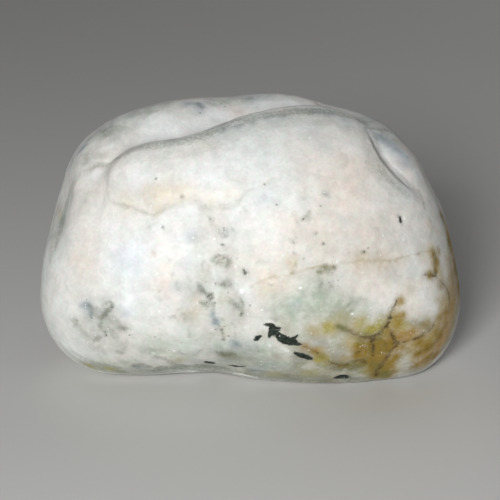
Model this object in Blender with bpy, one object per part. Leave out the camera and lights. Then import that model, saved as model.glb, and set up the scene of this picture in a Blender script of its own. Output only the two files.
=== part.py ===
"""River pebble: one water-worn stone that rests on a flat worn patch of its underside.

Metres, +Z up. The origin lies on the resting plane, under the middle of the stone's box.
+X runs along the stone and -Y is its front.

The stone is sculpted in code. A finely cut ball is blown out to the stone's outline, as drawn
from a little above its front. Broad swells and hollows are pressed in, folds are carved along
drawn lines, and the underside is worn flat where the stone rests.
"""

import math

import bmesh
import bpy
import numpy as np
from mathutils import Vector
from mathutils.bvhtree import BVHTree

MM = 0.001

# Driving dimensions.
LENGTH = 83 * MM
DEPTH = 57 * MM
HEIGHT = 52.5 * MM

# Everything below is drawn in mm on a plane that stands up through the stone and leans back, so
# that it's seen square-on from this far above the horizon: places on it are (right, up).
DRAWING_ELEVATION = math.radians(20)

# The outline: how high its middle lies, and its reach from there every 10 degrees, from the right
# (0) over the top (90).
OUTLINE_MIDDLE = 23.8
OUTLINE = (
    *(39.2, 37.4, 35.5, 34.8, 34.9, 33.2, 31.3, 30.3, 29.4),
    *(28.6, 28.5, 29.6, 31.4, 33.7, 36.4, 38.8, 40.0, 40.1),
    *(40.3, 41.8, 43.8, 43.7, 41.1, 35.8, 31.6, 29.6, 28.4),
    *(28.5, 29.4, 31.6, 34.5, 38.2, 42.9, 44.8, 43.9, 41.4),
)

# How far the stone swells to the front and to the back of that plane, and how square its sections
# are from front to back (2 is an ellipse, more is squarer).
SWELL_FRONT = 28.0
SWELL_BACK = 27.0
SECTION_SQUARENESS = 2.3

# Each face of the cube that the ball is made from is cut into this many squares along a side.
DIVISIONS = 30

# The underside is exactly flat where it lay deeper than this, and curves up from there.
WEAR_BLEND = 1.3 * MM

# How many times every point is eased towards its neighbours, to round the folds as water does.
EASINGS = 1

# Broad forms: name, the direction it's seen from (0 is the front, 90 the right), its middle on the
# drawing, its reach, and its height (a hollow's is negative).
BROAD_FORMS = (
    ("left swell of the front", 0, (-24.5, 17.4), (14, 13), 0.9),
    ("middle swell of the front", 0, (4.5, 24.0), (15, 13), 0.8),
    ("valley up the front", 0, (-6.5, 11.0), (5, 15), -1.3),
    ("knuckle at the lower right", 0, (34.1, 10.0), (5, 6), 0.9),
    ("hollow under the knuckle", 0, (25.5, 2.0), (6, 5), -0.9),
    ("rim of the right shoulder", 0, (31.5, 38.0), (4, 7), 1.3),
    ("left flank hollow", 0, (-37.3, 29.5), (3, 8), -1.7),
    ("arch between the feet", 0, (-9.0, -4.0), (7, 3), -0.9),
    ("swell of the back", 180, (13.0, 17.0), (15, 12), 1.0),
    ("hollow of the back", 180, (-13.0, 25.0), (11, 9), -1.2),
    ("worn facet of the left end", 270, (5.0, 22.0), (10, 11), -1.1),
    ("swell of the right end", 90, (2.0, 18.0), (11, 9), 0.7),
)

# A fold's surface drops to the left of its drawn line. Its points are (right, up, depth, slope,
# gentle): the slope is how wide the falling side is, with the line along its middle, and the
# surface is back at its own height that far (gentle) beyond the bottom. The falling side starts
# slowly and ends steeply: 1 would be even, and more rolls over further.
FOLD_ROLL = 2.0

# The fold that bounds the front lobe, drawn on the front, from the lobe's lower left end, up and
# over its crest, and down the right shoulder.
FRONT_FOLD = (
    (-23.6, 29.0, 0.0, 5.0, 8.0),
    (-25.8, 31.6, 0.9, 5.0, 8.0),
    (-26.0, 35.0, 1.6, 5.0, 8.0),
    (-24.4, 37.8, 2.4, 5.0, 9.0),
    (-20.8, 40.1, 3.3, 5.0, 12.0),
    (-12.5, 41.6, 4.0, 5.2, 13.0),
    (-6.0, 44.2, 4.4, 5.4, 13.0),
    (0.0, 46.5, 4.4, 5.4, 12.0),
    (9.5, 48.2, 4.0, 5.4, 12.0),
    (16.5, 47.6, 3.0, 5.4, 10.0),
    (20.4, 45.0, 1.2, 5.4, 7.0),
    (22.6, 40.4, 2.2, 5.4, 5.0),
    (25.8, 35.4, 2.5, 5.0, 4.5),
    (29.8, 31.4, 1.6, 4.5, 4.5),
    (33.8, 28.3, 0.0, 4.5, 4.5),
)

# The step under the front lobe, where it stands a little proud of the face below it.
LOBE_STEP = (
    (6.0, 34.8, 0.0, 3.0, 8.0),
    (3.0, 33.6, 0.3, 3.0, 8.0),
    (-1.5, 30.8, 0.6, 3.2, 8.0),
    (-5.5, 29.2, 0.9, 3.4, 8.0),
    (-11.5, 30.4, 0.9, 3.4, 8.0),
    (-17.0, 29.0, 1.0, 3.4, 8.0),
    (-20.5, 27.8, 1.1, 3.4, 8.0),
    (-25.5, 28.6, 1.0, 3.6, 8.0),
    (-27.5, 30.5, 0.0, 4.0, 8.0),
)

# A shallow fold that crosses the back, drawn from behind.
BACK_FOLD = (
    (-31.0, 38.0, 0.0, 5.0, 15.0),
    (-22.0, 34.5, 0.7, 5.0, 15.0),
    (-12.0, 31.5, 1.1, 5.0, 15.0),
    (-2.0, 26.0, 1.2, 5.0, 15.0),
    (8.0, 21.0, 1.0, 5.0, 15.0),
    (16.0, 13.0, 0.5, 5.0, 15.0),
    (22.0, 6.0, 0.0, 5.0, 15.0),
)

# The folds, and the direction that each is drawn from.
FOLDS = (
    (FRONT_FOLD, 0),
    (LOBE_STEP, 0),
    (BACK_FOLD, 180),
)

STONE_COLOUR = (0.80, 0.80, 0.77, 1.0)
STONE_ROUGHNESS = 0.45


def clear_scene():
    for obj in list(bpy.data.objects):
        bpy.data.objects.remove(obj, do_unlink=True)


def smoothstep(t):
    t = np.clip(t, 0.0, 1.0)
    return t * t * (3.0 - 2.0 * t)


def cube_ball(divisions):
    """A unit ball made of a cube's six faces, each cut into divisions x divisions squares."""
    ball = bmesh.new()
    bmesh.ops.create_cube(ball, size=2.0)
    bmesh.ops.subdivide_edges(
        ball, edges=ball.edges[:], cuts=divisions - 1, use_grid_fill=True
    )
    for vertex in ball.verts:
        even = Vector(math.tan(c * math.pi / 4) for c in vertex.co)
        vertex.co = even.normalized()
    return ball


def places(stone):
    return np.array([v.co[:] for v in stone.verts])


def normals(stone):
    stone.normal_update()
    return np.array([v.normal[:] for v in stone.verts])


def move_to(stone, points):
    for vertex, point in zip(stone.verts, points):
        vertex.co = point


def drawing_axes(azimuth):
    """Right, up and towards the eye, as rows, for a drawing seen from this azimuth."""
    turn, tilt = math.radians(azimuth), DRAWING_ELEVATION
    right = np.array([math.cos(turn), math.sin(turn), 0])
    eye = np.array(
        [math.sin(turn) * math.cos(tilt), -math.cos(turn) * math.cos(tilt), math.sin(tilt)]
    )
    return np.array([right, np.cross(eye, right), eye])


def outline_reach(angle):
    """The outline's reach in a direction, on a smooth closed curve through the given ones."""
    given = np.array(OUTLINE)
    place = np.degrees(angle) % 360 * len(given) / 360
    start = np.floor(place).astype(int)
    t = place - start
    before, here, after, beyond = (given[(start + step) % len(given)] for step in (-1, 0, 1, 2))
    return 0.5 * (
        2 * here
        + (after - before) * t
        + (2 * before - 5 * here + 4 * after - beyond) * t**2
        + (3 * here - before - 3 * after + beyond) * t**3
    )


def blow_out_to_outline(stone):
    """Turns the unit ball into a stone with the drawn outline, rounder in its middle."""
    axes = drawing_axes(0)
    across, high, deep = (places(stone) @ axes.T).T
    aside = np.hypot(across, high)
    angle = np.arctan2(high, across)
    round_reach = np.mean(OUTLINE) * (1 + 0.2 * np.cos(2 * angle))
    reach = round_reach + (outline_reach(angle) - round_reach) * aside**2
    fill = (aside**SECTION_SQUARENESS + np.abs(deep) ** SECTION_SQUARENESS) ** (
        -1 / SECTION_SQUARENESS
    )
    swell = np.where(deep > 0, SWELL_FRONT, SWELL_BACK)
    drawn = np.stack([across * reach, high * reach, deep * swell]) * fill * MM
    block = drawn.T @ axes
    block[:, 2] += OUTLINE_MIDDLE * MM
    move_to(stone, block)


def press_broad_forms(stone):
    points, facing = places(stone), normals(stone)
    height = np.zeros(len(points))
    for _, azimuth, middle, reach, tall in BROAD_FORMS:
        axes = drawing_axes(azimuth)
        away = ((points @ axes.T)[:, :2] / MM - middle) / reach
        seen = smoothstep(facing @ axes[2] * 3 + 0.5)
        height += tall * MM * np.exp(-(away**2).sum(axis=1)) * seen
    move_to(stone, points + facing * height[:, None])


def smooth_line(points, per_span=6):
    """Points along a smooth curve through the given ones."""
    points = np.array(points, float)
    padded = np.vstack([2 * points[0] - points[1], points, 2 * points[-1] - points[-2]])
    line = []
    for before, here, after, beyond in zip(padded, padded[1:], padded[2:], padded[3:]):
        for t in np.arange(per_span) / per_span:
            line.append(
                0.5
                * (
                    2 * here
                    + (after - before) * t
                    + (2 * before - 5 * here + 4 * after - beyond) * t**2
                    + (3 * here - before - 3 * after + beyond) * t**3
                )
            )
    line.append(points[-1])
    return np.array(line)


def draw_on(stone, drawn, azimuth):
    """Puts a drawn line on the stone: its places, the surface normals there, and its sizes."""
    right, up, eye = (Vector(axis) for axis in drawing_axes(azimuth))
    tree = BVHTree.FromBMesh(stone)
    found = []
    for across, high, *sizes in smooth_line(drawn):
        start = (right * across + up * high) * MM + eye * LENGTH * 2
        place, normal, _, _ = tree.ray_cast(start, -eye)
        if place is not None:
            found.append((*place, *normal, *sizes))
    found = np.array(found)
    return found[:, :3], found[:, 3:6], found[:, 6:] * MM


def beside_line(points, line, line_normals, sizes):
    """Each point's signed distance to the line (left of travel is positive) and the sizes there."""
    spans = np.diff(line, axis=0)
    lengths = (spans**2).sum(axis=1)
    away = points[:, None, :] - line[None, :-1, :]
    t = np.clip((away * spans).sum(axis=2) / lengths, 0, 1)
    away -= t[..., None] * spans
    far = (away**2).sum(axis=2)
    nearest = far.argmin(axis=1)
    row = np.arange(len(points))
    left = np.cross(line_normals[nearest], spans[nearest])
    side = np.sign((away[row, nearest] * left).sum(axis=1))
    share = t[row, nearest][:, None]
    sizes = sizes[nearest] * (1 - share) + sizes[nearest + 1] * share
    return side * np.sqrt(far[row, nearest]), sizes


def carve_fold(stone, drawn, azimuth):
    """Drops the stone to the left of the drawn line, and lets it rise again beyond the bottom."""
    points = places(stone)
    aside, sizes = beside_line(points, *draw_on(stone, drawn, azimuth))
    depth, slope, gentle = sizes.T
    fallen = smoothstep(np.clip(aside / slope + 0.5, 0, 1) ** FOLD_ROLL)
    risen = smoothstep((aside - slope / 2) / gentle)
    move_to(stone, points - normals(stone) * (fallen * (1 - risen) * depth)[:, None])


def ease_edges(stone):
    for _ in range(EASINGS):
        bmesh.ops.smooth_vert(
            stone, verts=stone.verts[:], factor=0.5, use_axis_x=True, use_axis_y=True, use_axis_z=True
        )


def wear_underside_flat(stone):
    """Everything below the resting plane goes up to it, with a soft turn at the flat's edge."""
    points = places(stone)
    z = points[:, 2]
    turned = (z + WEAR_BLEND) ** 2 / (4 * WEAR_BLEND)
    points[:, 2] = np.where(z > WEAR_BLEND, z, np.where(z < -WEAR_BLEND, 0.0, turned))
    move_to(stone, points)


def fit_to_driving_dimensions(stone):
    points = places(stone)
    low, high = points.min(axis=0), points.max(axis=0)
    middle = (low + high) / 2
    middle[2] = low[2]
    move_to(stone, (points - middle) * (np.array([LENGTH, DEPTH, HEIGHT]) / (high - low)))


def stone_material():
    material = bpy.data.materials.new("worn_stone")
    material.use_nodes = True
    surface = material.node_tree.nodes["Principled BSDF"]
    surface.inputs["Base Color"].default_value = STONE_COLOUR
    surface.inputs["Roughness"].default_value = STONE_ROUGHNESS
    surface.inputs["Metallic"].default_value = 0.0
    return material


def make_pebble():
    stone = cube_ball(DIVISIONS)
    blow_out_to_outline(stone)
    press_broad_forms(stone)
    for fold in FOLDS:
        carve_fold(stone, *fold)
    ease_edges(stone)
    wear_underside_flat(stone)
    fit_to_driving_dimensions(stone)

    mesh = bpy.data.meshes.new("pebble")
    stone.to_mesh(mesh)
    stone.free()
    mesh.materials.append(stone_material())
    mesh.shade_smooth()
    pebble = bpy.data.objects.new("pebble", mesh)
    home = bpy.data.collections.new("river_pebble")
    bpy.context.scene.collection.children.link(home)
    home.objects.link(pebble)
    return pebble


def main():
    clear_scene()
    make_pebble()


main()
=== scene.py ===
import math

import bpy
import numpy as np
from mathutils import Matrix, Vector
from mathutils.bvhtree import BVHTree


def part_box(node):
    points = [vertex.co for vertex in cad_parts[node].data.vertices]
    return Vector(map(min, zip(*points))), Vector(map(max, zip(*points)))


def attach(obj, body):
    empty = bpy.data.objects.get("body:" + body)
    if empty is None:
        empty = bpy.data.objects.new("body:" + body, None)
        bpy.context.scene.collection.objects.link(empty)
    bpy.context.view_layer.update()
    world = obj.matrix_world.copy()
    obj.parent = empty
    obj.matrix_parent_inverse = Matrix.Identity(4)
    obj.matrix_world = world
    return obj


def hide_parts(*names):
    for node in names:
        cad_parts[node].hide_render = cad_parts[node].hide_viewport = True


# The river pebble, dressed: its worn skin with creases and pits, and everything that colours it.
# Metres, in the frame's own axes. Places on the stone are drawn on sheets held up in front of it:
# millimetres right and up of the sheet's middle, as an eye 300 mm away sees them.

MM = 0.001

AIM = Vector((0, 0, 21.3)) * MM
EYE_DISTANCE = 300 * MM
SENSOR_WIDTH = 36  # the camera's, in mm, as is its lens
LENS = 108
SHEETS = {  # azimuth and elevation of the eye, in degrees
    "front": (0, 20),
    "right end": (90, 20),
    "back": (180, 20),
    "left end": (270, 20),
    "top": (0, 88),
}

# The skin's fine mesh, and how worn and uneven it is.
CELLS = (160, 112, 103)
ROUNDING_PASSES = 5
SWELLS = (  # size and height of the unevenness, coarse to fine, in mm
    (13.0, 0.36),
    (5.0, 0.20),
    (2.0, 0.085),
)
SEED = 4
LINE_STEP = 0.25  # how closely the drawn lines are stepped, in mm
CREASE_BANK = 2.6  # how far a crease's banks reach, in half widths
NOISE_SPACING = 7.3  # how far apart the noises of two seeds lie

# Everything drawn on the stone, sheet by sheet, in mm, some of it painted light and shade.
# Flecks, seams, veins, scuffs and painted highlights, and smudges and painted shade are lines of
# (right, up, half width, strength), where the strength is 1 if it isn't given. Creases are lines
# of (right, up, half width, depth), and tints are spots of (right, up, reach, strength).
DARK_FLECKS = {
    "front": (
        ((-5.7, -16, 0.22, 0.65),), ((-5.5, -16.8, 0.12, 0.65),), ((-5.3, -17.9, 0.19, 0.65),),
        ((-5.6, 1.1, 0.22, 0.65),), ((-9.2, 8.7, 0.15, 0.65),), ((-18.8, 14.3, 0.22, 0.65),),
        ((2.9, 13.1, 0.19, 0.65),), ((22.8, -0.4, 0.22, 0.65),), ((-17.4, 4.6, 0.17, 0.65),),
        ((-27.8, -10.5, 0.15, 0.65),), ((-27.6, -11.4, 0.22, 0.65),),
        ((-29, -16.3, 0.15, 0.65),), ((-28.8, -17, 0.19, 0.65),), ((-25.2, -15.7, 0.17, 0.65),),
        ((28.1, -13.6, 0.25, 0.65),), ((-8.4, -9.2, 0.17, 0.65),), ((-8, -9.8, 0.19, 0.65),),
        ((-1.7, -10.4, 0.14, 0.65),), ((-1.7, -12.8, 0.19, 0.65),), ((-8, 6.2, 0.15, 0.65),),
        ((-13.7, 10.6, 0.15, 0.65),), ((5.1, -15.6, 0.44), (5.9, -15.7, 0.32)),
        ((8.6, -17.7, 0.4), (9.2, -17.4, 0.3), (9.6, -17.1, 0.2)),
        ((2.1, -17.2, 0.26), (1.5, -17.6, 0.52), (1, -18, 0.3)),
        ((9, -20.6, 0.32), (10, -21, 0.58), (11.2, -21.4, 0.62), (12.3, -21.8, 0.38)),
        ((10.7, 6.2, 0.19, 0.65),), ((10.8, -1.7, 0.15, 0.65),), ((13.2, 3.4, 0.14, 0.65),),
        ((14.7, 1.2, 0.15, 0.65),), ((29.9, 6.5, 0.24), (30.1, 5.7, 0.3)),
        ((-8.8, -22.4, 0.44), (-8.1, -22.5, 0.72), (-7.4, -22.6, 0.48)),
        ((-4.2, -23, 0.2), (-3.2, -23.1, 0.52), (-2.4, -23.2, 0.36), (-1, -23.2, 0.18)),
        ((-1.3, -4, 0.22, 0.75), (-1, -4.7, 0.26, 0.75)),
        # painted shadow in the chip at the base, drawn as a big dark fleck
        ((17.3, -25.7, 0.68), (18.3, -25.6, 1.4), (19.3, -25.7, 0.68)),
        ((14.9, -3.4, 0.16, 0.45),), ((13.9, -4.2, 0.12, 0.4),), ((16.8, -3.6, 0.18, 0.5),),
        ((16, -4.3, 0.12, 0.4),),
        ((-31.3, 17.2, 0.12), (-30.6, 17.4, 0.2), (-29.9, 17.5, 0.16), (-29.4, 17.5, 0.1)),
        (
            (2.9, -15, 0.2), (3.6, -15, 0.38), (4.3, -15.2, 0.58), (4.4, -16, 0.66),
            (4.1, -16.8, 0.54), (3.9, -17.5, 0.32),
        ),
        (
            (5.2, -16.6, 0.52), (5.9, -17.3, 0.8), (6.8, -17.9, 1.04), (7.9, -18.3, 1),
            (8.9, -18.6, 0.76), (9.6, -18.8, 0.44), (10.2, -19, 0.2),
        ),
    ),
    "back": (
        ((-16, -10, 0.24), (-15, -10.8, 0.6), (-13.8, -11, 0.56), (-12.4, -11.8, 0.2)),
        ((-10.6, -13.6, 0.2), (-9.4, -14, 0.4), (-8.2, -14.6, 0.16)),
        ((16, 2, 0.3), (16.6, 1.2, 0.24)), ((8, 10, 0.19, 0.65),), ((-26, -1, 0.2, 0.65),),
        ((20.4, -16, 0.24), (21.6, -16.6, 0.4), (22.8, -16.8, 0.22)),
    ),
    "right end": (
        ((10, -13.6, 0.2), (11.2, -14.2, 0.52), (12.4, -15.2, 0.44), (13.2, -16, 0.18)),
        ((14.4, -10, 0.2, 0.65),), ((0, 10.8, 0.19, 0.65),),
    ),
    "left end": (
        ((-7.2, -14.4, 0.24), (-6.2, -15, 0.48), (-4.8, -15.2, 0.2)), ((-10, 12, 0.2, 0.65),),
        ((-14, -2.4, 0.17, 0.65),),
    ),
    "top": (
        ((10, 14, 0.2, 0.65),), ((-16, 6, 0.2), (-15.4, 5.6, 0.24)),
    ),
}

RUSTY_SEAMS = {
    "front": (
        (
            (29.8, -9.4, 0.12, 0.4), (29.4, -10.2, 0.18, 0.7), (29, -11.2, 0.18, 0.8),
            (28.4, -12.2, 0.18, 0.8), (28.1, -13.4, 0.25, 1), (27.8, -14.4, 0.22, 1),
            (27.2, -15.4, 0.28, 1), (26.6, -16.2, 0.28, 1), (25.6, -17, 0.38, 1),
            (24.8, -17.6, 0.4, 1), (24.5, -18.6, 0.3, 1), (24.8, -19.8, 0.22, 0.9),
            (24.6, -21.2, 0.22, 0.7),
        ),
        (
            (28, -15.4, 0.2, 0.7), (28.2, -16.6, 0.25, 0.9), (28.8, -17.6, 0.3, 1),
            (29.4, -18.4, 0.32, 1), (30.4, -18.5, 0.28, 0.9), (32, -18.2, 0.25, 0.8),
            (33.6, -17.6, 0.28, 0.7), (35, -16.8, 0.25, 0.7), (36.2, -15.8, 0.22, 0.6),
            (36.8, -15, 0.18, 0.5),
        ),
        (
            (29.8, -18.7, 0.3, 1), (28.6, -19.8, 0.25, 0.9), (27.8, -21, 0.3, 0.9),
            (27.2, -22, 0.3, 0.9), (26.4, -23.2, 0.32, 0.9), (25.6, -24, 0.35, 0.9),
            (25.2, -25.2, 0.35, 0.9),
        ),
        ((27.2, -18.6, 0.15, 0.6), (27.4, -20.2, 0.18, 0.6)),
        (
            (19.8, -16.2, 0.18, 0.8), (20.8, -16.8, 0.2, 0.8), (22, -17.2, 0.22, 0.8),
            (23.2, -17.5, 0.22, 0.8), (24.4, -17.6, 0.28, 1),
        ),
        (
            (10.4, -19.2, 0.15, 0.5), (11.6, -19.6, 0.18, 0.6), (12.8, -20.2, 0.2, 0.6),
            (13.8, -20.8, 0.2, 0.6),
        ),
        (
            (15.8, -22.4, 0.2, 0.8), (17, -23, 0.25, 0.9), (18.4, -23.3, 0.25, 1),
            (19.8, -23, 0.22, 0.8),
        ),
        ((21.4, -20.6, 0.25, 0.6), (22.2, -20.1, 0.22, 0.6), (23.2, -19.4, 0.2, 0.5)),
        ((21, -22.2, 0.25, 0.7), (22.2, -22, 0.32, 0.8), (23.2, -22.6, 0.28, 0.7)),
        (
            (36.8, 0, 0.16, 0.375), (37.2, -1.6, 0.19, 0.525), (37.2, -3.2, 0.19, 0.525),
            (37.3, -5, 0.28, 0.75),
        ),
        ((34.8, -5, 0.14, 0.45), (36, -5, 0.19, 0.6), (37.2, -5.2, 0.21, 0.75)),
        (
            (38, -6.2, 0.18, 0.5), (39.2, -7.6, 0.2, 0.6), (39.8, -9.8, 0.18, 0.6),
            (39.8, -12.2, 0.18, 0.4),
        ),
        (
            (33.2, -21, 0.22, 0.35), (35, -20, 0.25, 0.4), (36.8, -18.8, 0.25, 0.4),
            (38.4, -17, 0.22, 0.35),
        ),
        ((28.2, -13.5, 0.26),), ((26.4, -16.7, 0.3),), ((25.1, -17.6, 0.32),),
        ((28.9, -18.7, 0.3),), ((24.7, -20.1, 0.24),), ((26.2, -22.8, 0.28),),
        ((18.6, -23.3, 0.4), (19.5, -23, 0.28)),
    ),
    "right end": (
        (
            (-3.6, -2.4, 0.14, 0.7), (-4, -6, 0.16, 0.8), (-5.2, -10, 0.16, 0.8),
            (-4.4, -14, 0.16, 0.8), (-5.6, -18, 0.16, 0.8), (-5.2, -21.6, 0.14, 0.7),
        ),
        (
            (-4.4, -14, 0.12, 0.7), (-1.6, -15.6, 0.16, 0.8), (1.2, -16.2, 0.14, 0.8),
            (4, -18.4, 0.12, 0.6),
        ),
    ),
    "back": (
        (
            (-26.4, -14.4, 0.1, 0.7), (-23.2, -16, 0.16, 0.8), (-20.8, -18.2, 0.18, 0.9),
            (-18, -19, 0.16, 0.8), (-16, -21, 0.12, 0.7),
        ),
        ((-20.8, -18.2, 0.12, 0.8), (-20, -20.4, 0.16, 0.8), (-20.4, -22.8, 0.14, 0.8)),
    ),
}

TAN_VEINS = {
    "front": (
        (
            (0, -7.2, 0.16, 0.25), (2.4, -6.2, 0.24, 0.35), (4, -5.5, 0.28, 0.4),
            (6, -5.1, 0.24, 0.35), (7.6, -5, 0.24, 0.5), (8.4, -4.8, 0.36, 0.8),
            (9.6, -4.4, 0.18, 0.35), (11.2, -4, 0.16, 0.5), (12.4, -3.6, 0.18, 0.8),
            (14.4, -3.3, 0.22, 0.8), (16.8, -3.2, 0.22, 0.45), (19, -2.6, 0.2, 0.35),
            (21, -2.2, 0.24, 0.4), (24.4, -2.1, 0.28, 0.4), (27, -2.2, 0.28, 0.5),
            (28.8, -2.1, 0.22, 0.8), (29.8, -1.7, 0.16, 0.5), (30.8, -1.4, 0.2, 0.75),
            (32.2, -1, 0.16, 0.45), (33.8, -0.6, 0.18, 0.75), (35, -0.4, 0.16, 0.35),
            (36.4, -0.2, 0.16, 0.4),
        ),
        ((9, -1.2, 0.48, 0.2), (9.2, -2.8, 0.44, 0.25), (8.8, -4.2, 0.36, 0.35)),
        (
            (1.6, 12.6, 0.14, 0.2), (2.8, 13.2, 0.18, 0.4), (4, 14, 0.16, 0.35),
            (5.2, 14.6, 0.12, 0.2),
        ),
    ),
    "right end": (
        (
            (-10, -1.2, 0.18, 0.7), (-6.8, 0.2, 0.16, 0.7), (-2.8, 2, 0.18, 0.8),
            (1.6, 4.4, 0.16, 0.7), (6, 6, 0.16, 0.7), (10.8, 9, 0.14, 0.6),
            (15.2, 10.4, 0.12, 0.5),
        ),
        (
            (-2.8, 2, 0.12, 0.6), (-0.4, 0, 0.16, 0.7), (2.8, -1.6, 0.14, 0.6),
            (6.8, -2.8, 0.1, 0.4),
        ),
    ),
    "back": (
        (
            (-34.4, 4.8, 0.16, 0.6), (-30.4, 5.6, 0.18, 0.7), (-25.6, 4.8, 0.18, 0.7),
            (-20, 5.6, 0.18, 0.8), (-14.8, 4.2, 0.16, 0.7), (-9.2, 2, 0.18, 0.7),
            (-3.6, 1.4, 0.16, 0.8), (2.4, -0.8, 0.16, 0.7), (7.2, -3.6, 0.14, 0.6),
            (10, -6.8, 0.12, 0.4),
        ),
        ((-3.6, 1.4, 0.12, 0.6), (-0.8, 4.8, 0.16, 0.6), (3.2, 7.6, 0.14, 0.4)),
    ),
    "left end": (
        (
            (-26, 2.8, 0.12, 0.5), (-21.6, 1.6, 0.16, 0.6), (-16.8, 2, 0.14, 0.7),
            (-12, 0.4, 0.16, 0.6), (-7.6, -2.4, 0.14, 0.5), (-5.2, -6, 0.12, 0.4),
        ),
    ),
    "top": (
        (
            (10, 26, 0.12, 0.5), (6, 23.2, 0.16, 0.6), (0, 22, 0.16, 0.6),
            (-6.8, 19.6, 0.14, 0.5), (-12, 16, 0.12, 0.4),
        ),
    ),
}

PALE_SCUFFS_AND_HIGHLIGHTS = {
    # most single dots here are painted glints of crystal faces
    "front": (
        ((-4.2, 24.7, 0.1), (-2.8, 25.2, 0.14), (-1.4, 25.7, 0.1)),
        ((-3.6, 25.3, 0.08), (-2.4, 25.8, 0.1)), ((-4.6, 19, 0.22),), ((11.8, 22.4, 0.22),),
        ((3.4, 14.4, 0.18),), ((10.4, 12, 0.24, 0.7),), ((2.4, -12, 0.2),), ((10, -7.8, 0.18),),
        ((17.4, -2.2, 0.2),), ((20.4, -12.8, 0.28),), ((-2.8, -3.4, 0.22),),
        ((-11.4, 2.4, 0.2),), ((-10.2, -1.2, 0.28, 0.8),), ((-13.6, 5.4, 0.24, 0.7),),
        ((-7.2, 2.2, 0.2),), ((-18.6, -4.6, 0.18),), ((6.6, -1, 0.26, 0.8),),
        ((-4.8, 9.4, 0.18),), ((-15.2, -20.2, 0.24),), ((-19.4, -20.6, 0.28, 0.7),),
        ((-18.2, -12.2, 0.2),), ((-13.6, -20.4, 0.16),), ((17, 19, 0.2),), ((38.4, 2.4, 0.24),),
        ((12.4, 5.6, 0.24, 0.6),), ((-9, 14.4, 0.16),), ((-1.2, 16.2, 0.16),),
        ((5, 20.8, 0.16),), ((24.6, 21.4, 0.18, 0.7),), ((29, 15.6, 0.18, 0.7),),
        ((30.6, 2, 0.16),), ((-6.4, 7.6, 0.2, 0.6),),
        # painted highlights along the lips at the base
        ((-13, -24.1, 0.24, 0.8), (-11.2, -24.3, 0.34, 0.9), (-9.2, -24.4, 0.24, 0.7)),
        ((-3.8, -24.5, 0.24, 0.8), (-1, -25, 0.4, 1), (1.6, -25.6, 0.32, 0.9)),
        ((-1.6, -8.2, 0.48, 1),),
        ((-7.2, -3.4, 0.22, 0.3), (-7, -4.8, 0.22, 0.3), (-6.9, -6.2, 0.19, 0.25)),
        ((-6.2, 27.2, 0.6, 0.3), (-4.2, 27.6, 0.6, 0.35)),
        ((-29.4, 20, 0.6, 0.3), (-27.8, 20.8, 0.52, 0.25)),
        (
            (2.4, 29.4, 0.6, 0.3), (6, 29.5, 0.6, 0.35), (10, 29.4, 0.6, 0.35),
            (12.4, 29.3, 0.4, 0.3),
        ),
        # painted highlight on the lit facet right of the groove
        (
            (24.8, 21, 0.4, 0.3), (26.8, 18.4, 0.52, 0.35), (29.2, 16.2, 0.52, 0.35),
            (31, 14.8, 0.44, 0.3),
        ),
        ((30.8, 6.4, 0.34),), ((10, -7.7, 0.3),), ((2.4, -12, 0.3),),
        ((3.6, -18.6, 0.24, 0.35), (4, -19.2, 0.32, 0.45)),
        ((6.6, -19.6, 0.26, 0.35), (7.4, -20.2, 0.48, 0.6)), ((10.6, -23.4, 0.32, 0.25),),
        ((19, -24, 0.4, 0.3),),
    ),
    "back": (
        ((-10, 14, 0.22),), ((2, 6, 0.24),), ((12, 0, 0.2),), ((-20, -2, 0.22),),
        ((-4, -10, 0.24),), ((6, -16, 0.2),),
    ),
    "right end": (
        ((0, 6, 0.22),), ((8, -2, 0.2),), ((-4, -6, 0.2),),
    ),
    "left end": (
        ((-14, 8, 0.2),), ((-6, 2, 0.22),), ((-18, -6, 0.2),),
    ),
    "top": (
        ((-6, 10, 0.2),), ((6, 2, 0.2),),
    ),
}

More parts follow.
